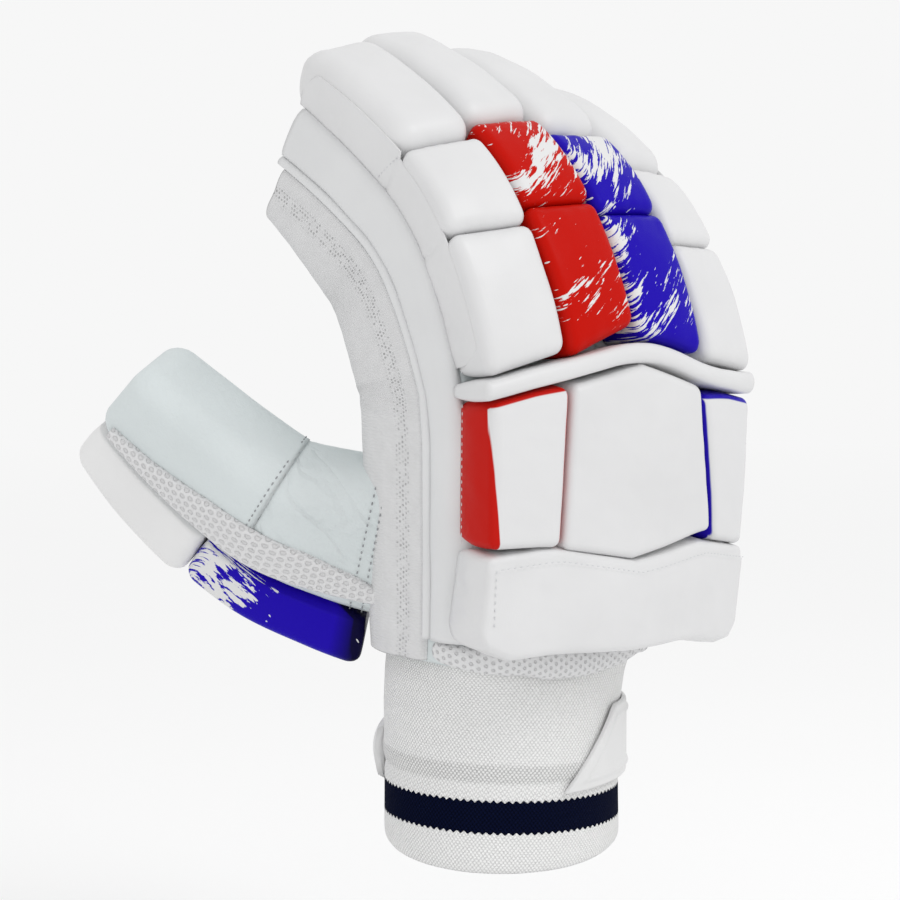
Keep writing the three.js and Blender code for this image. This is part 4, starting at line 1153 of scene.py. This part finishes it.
# Thumb
def thumb_pieces():
    o = stall(thumb, THUMB_SEAM, thumb.length + 4, "thumb_leather", "thumb_stall", 7.5)
    cloth(o, 2 * (34 + 32), thumb.length - THUMB_SEAM + 14)
    marks = section_marks(18, 20, 8, 0.9)
    stations = np.linspace(0, THUMB_SEAM + 1.5, 90)
    rings = []
    for s in stations:
        ring = tube_ring(thumb, s, 0.5 * smooth(THUMB_SEAM - 4, THUMB_SEAM, s), marks)
        centre = ring.mean(0)
        out = unit(ring - centre)
        angle = np.arctan2(out @ np.array([0, 0, 1.0]), out @ np.array([-0.6, 0.8, 0]))
        fan = smooth(8, 24, s) * smooth(THUMB_SEAM, THUMB_SEAM - 14, s)
        folds = np.abs(np.sin(angle * 5.5 + s * 0.10 + 1.2 * np.sin(s * 0.11))) ** 0.6
        fine = 0.4 * np.sin(angle * 19 - s * 0.12 + 1.5 * np.sin(s * 0.2))
        rings.append(ring + out * column(fan * (0.45 * folds + 0.22 * fine - 0.3)))
    inner = [tube_ring(thumb, s, LEATHER, marks) for s in stations[::-9]]
    o = tube("thumb_web_leather", np.array(rings + inner), WEB_LEATHER, closed=True,
             replaced=["thumb_web"], slot="leather")
    cloth(o, 2 * (33 + 50), THUMB_SEAM)
    width = lambda s: thumb.section(s)[0] - 1
    end = thumb.length
    # The tip pad's lighter white coat is painted light
    roll_pad(thumb, "thumb_tip_pad_skin", end - 46, end + 2.5, 0, width, 21, 17, 5, 1.5, THUMB_LIT_COAT, 0.9,
             replaced=["thumb_tip_pad"], slot="padding")
    roll_pad(thumb, "thumb_base_pad_skin", 17, end - 46.4, 0, width, 17.5, 18, 4, 1.5, THUMB_PRINT,
             replaced=["thumb_base_pad"], slot="blue_print")


# Air mesh on the thumb, its dimples pressed into the face and none of them at its edges
def thumb_mesh():
    stations = np.arange(10, thumb.length - 2, 0.55)
    rings = []
    for s in stations:
        high = np.interp(s, (10, 22, 40, 54, 72, 92, thumb.length), (-0.6, 5.5, 10.5, 11.5, 9, 4, 0))
        section = pillow(-2.6, high + 0.4, 0.1, MESH_THICK + 0.3, 30, 3.5)
        ring = []
        for u, lift in section:
            x, y = u / DIMPLE, s / (DIMPLE * 1.732)
            near = 9.0
            for shift in (0, 0.5):
                dx = (x + shift) % 1 - 0.5
                dy = ((y + shift) % 1 - 0.5) * 1.732
                near = min(near, math.hypot(dx, dy))
            edge = float(smooth(0.8, 2.6, min(u + 2.6, high + 0.4 - u)))
            press = 0.4 * float(smooth(0.44, 0.14, near)) * edge
            ring.append(on_side(thumb, 1, u, s, max(lift - press, 0.1)))
        rings.append(ring)
    o = tube("thumb_mesh_skin", np.array(rings), DIMPLE_MESH, uv_rows=stations,
             replaced=["thumb_mesh"], slot="air_mesh")
    cloth(o, 13, thumb.length - 12, rests_on=["thumb_stall", "thumb_web"])


def thumb_seam():
    marks = section_marks(12, 16, 8, 0.9)
    ring = tube_ring(thumb, THUMB_SEAM + 2.2, -0.15, marks)
    leather_stitches.line(ring, ring - ring.mean(0), 2.4, 1.3, 0.26)
    for s in (19.0, 22.5):
        ring = tube_ring(thumb, s, -0.75, marks)
        leather_stitches.line(ring, ring - ring.mean(0), 2.6, 1.2, 0.3)


# Floor, light and camera
CAMERA_TARGET = Vector((0, 0, 0.1365))
CAMERA_AZIMUTH = -47
CAMERA_ELEVATION = 5
CAMERA_DISTANCE = 0.85
FOCAL_PIXELS = 2507.5
IMAGE_SIZE = 900
MIDDLE_X = 503  # pixel column that the camera's axis passes through
BACKDROP = 0.93


def camera():
    a, e = math.radians(CAMERA_AZIMUTH), math.radians(CAMERA_ELEVATION)
    back = Vector((math.sin(a) * math.cos(e), -math.cos(a) * math.cos(e), math.sin(e)))
    data = bpy.data.cameras.new("camera")
    data.sensor_width = 36
    data.lens = FOCAL_PIXELS / IMAGE_SIZE * data.sensor_width
    data.shift_x = (IMAGE_SIZE / 2 - MIDDLE_X) / IMAGE_SIZE
    data.clip_start, data.clip_end = 0.01, 50
    cam = bpy.data.objects.new("camera", data)
    bpy.context.scene.collection.objects.link(cam)
    cam.location = CAMERA_TARGET + back * CAMERA_DISTANCE
    cam.rotation_mode = "QUATERNION"
    cam.rotation_quaternion = (-back).to_track_quat("-Z", "Y")
    bpy.context.scene.camera = cam


def floor():
    s = Shader("floor", 0.9, 0.0)
    speck = s.noise(s.place, 6.0, 2.0)
    away = s.add("VectorMath", {0: s.place}, operation="LENGTH").outputs["Value"]
    far_off = s.ramp(away, 0.5, 2.6)
    near_shade = s.blend(speck, (0.935, 0.935, 0.935), (0.945, 0.945, 0.945))
    material = s.done(s.blend(far_off, near_shade, (0.0, 0.0, 0.0)))
    s.surface.inputs["Emission Color"].default_value = (1, 1, 1, 1)
    s.links.new(s.math("MULTIPLY", far_off, BACKDROP), s.surface.inputs["Emission Strength"])
    mesh = bpy.data.meshes.new("floor")
    far, low = 12.0, -0.08
    mesh.from_pydata([(-far, -far, low), (far, -far, low), (far, far, low), (-far, far, low)], [], [(0, 1, 2, 3)])
    mesh.materials.append(material)
    o = bpy.data.objects.new("floor", mesh)
    bpy.context.scene.collection.objects.link(o)


def area_light(name, azimuth, elevation, distance, size, power):
    a, e = math.radians(azimuth), math.radians(elevation)
    away = Vector((math.sin(a) * math.cos(e), -math.cos(a) * math.cos(e), math.sin(e)))
    data = bpy.data.lights.new(name, "AREA")
    data.shape = "DISK"
    data.size = size
    data.energy = power
    o = bpy.data.objects.new(name, data)
    bpy.context.scene.collection.objects.link(o)
    o.location = CAMERA_TARGET + away * distance
    o.rotation_mode = "QUATERNION"
    o.rotation_quaternion = away.to_track_quat("Z", "Y")


def studio():
    world = bpy.data.worlds.new("studio")
    bpy.context.scene.world = world
    world.use_nodes = True
    world.node_tree.nodes["Background"].inputs[0].default_value = (1, 1, 1, 1)
    world.node_tree.nodes["Background"].inputs[1].default_value = BACKDROP
    area_light("key", 8, 46, 1.4, 0.6, 4.3)
    area_light("front", -52, -4, 1.4, 0.6, 1.2)
    view = bpy.context.scene.view_settings
    view.view_transform = "Standard"
    view.look = "None"


camera()
hand()
for ray in rays:
    leather = stall(ray, 0.9 - 6, ray.length + 1, f"{ray.name}_stall_leather", f"{ray.name}_stall")
    cloth(leather, 2 * (ray.width + FINGER_DEPTH - 14), ray.length + 6)
finger_rolls()
side_of(index_ray, -1)
side_of(little_ray, 1)
back_pads()
knuckle_welt()
wrist_trim()
cuff()
strap()
thumb_pieces()
thumb_mesh()
thumb_seam()
face_stitches.make("white_stitches", PALE_THREAD, "padding")
leather_stitches.make("leather_stitches", DARK_THREAD, "leather")
floor()
studio()
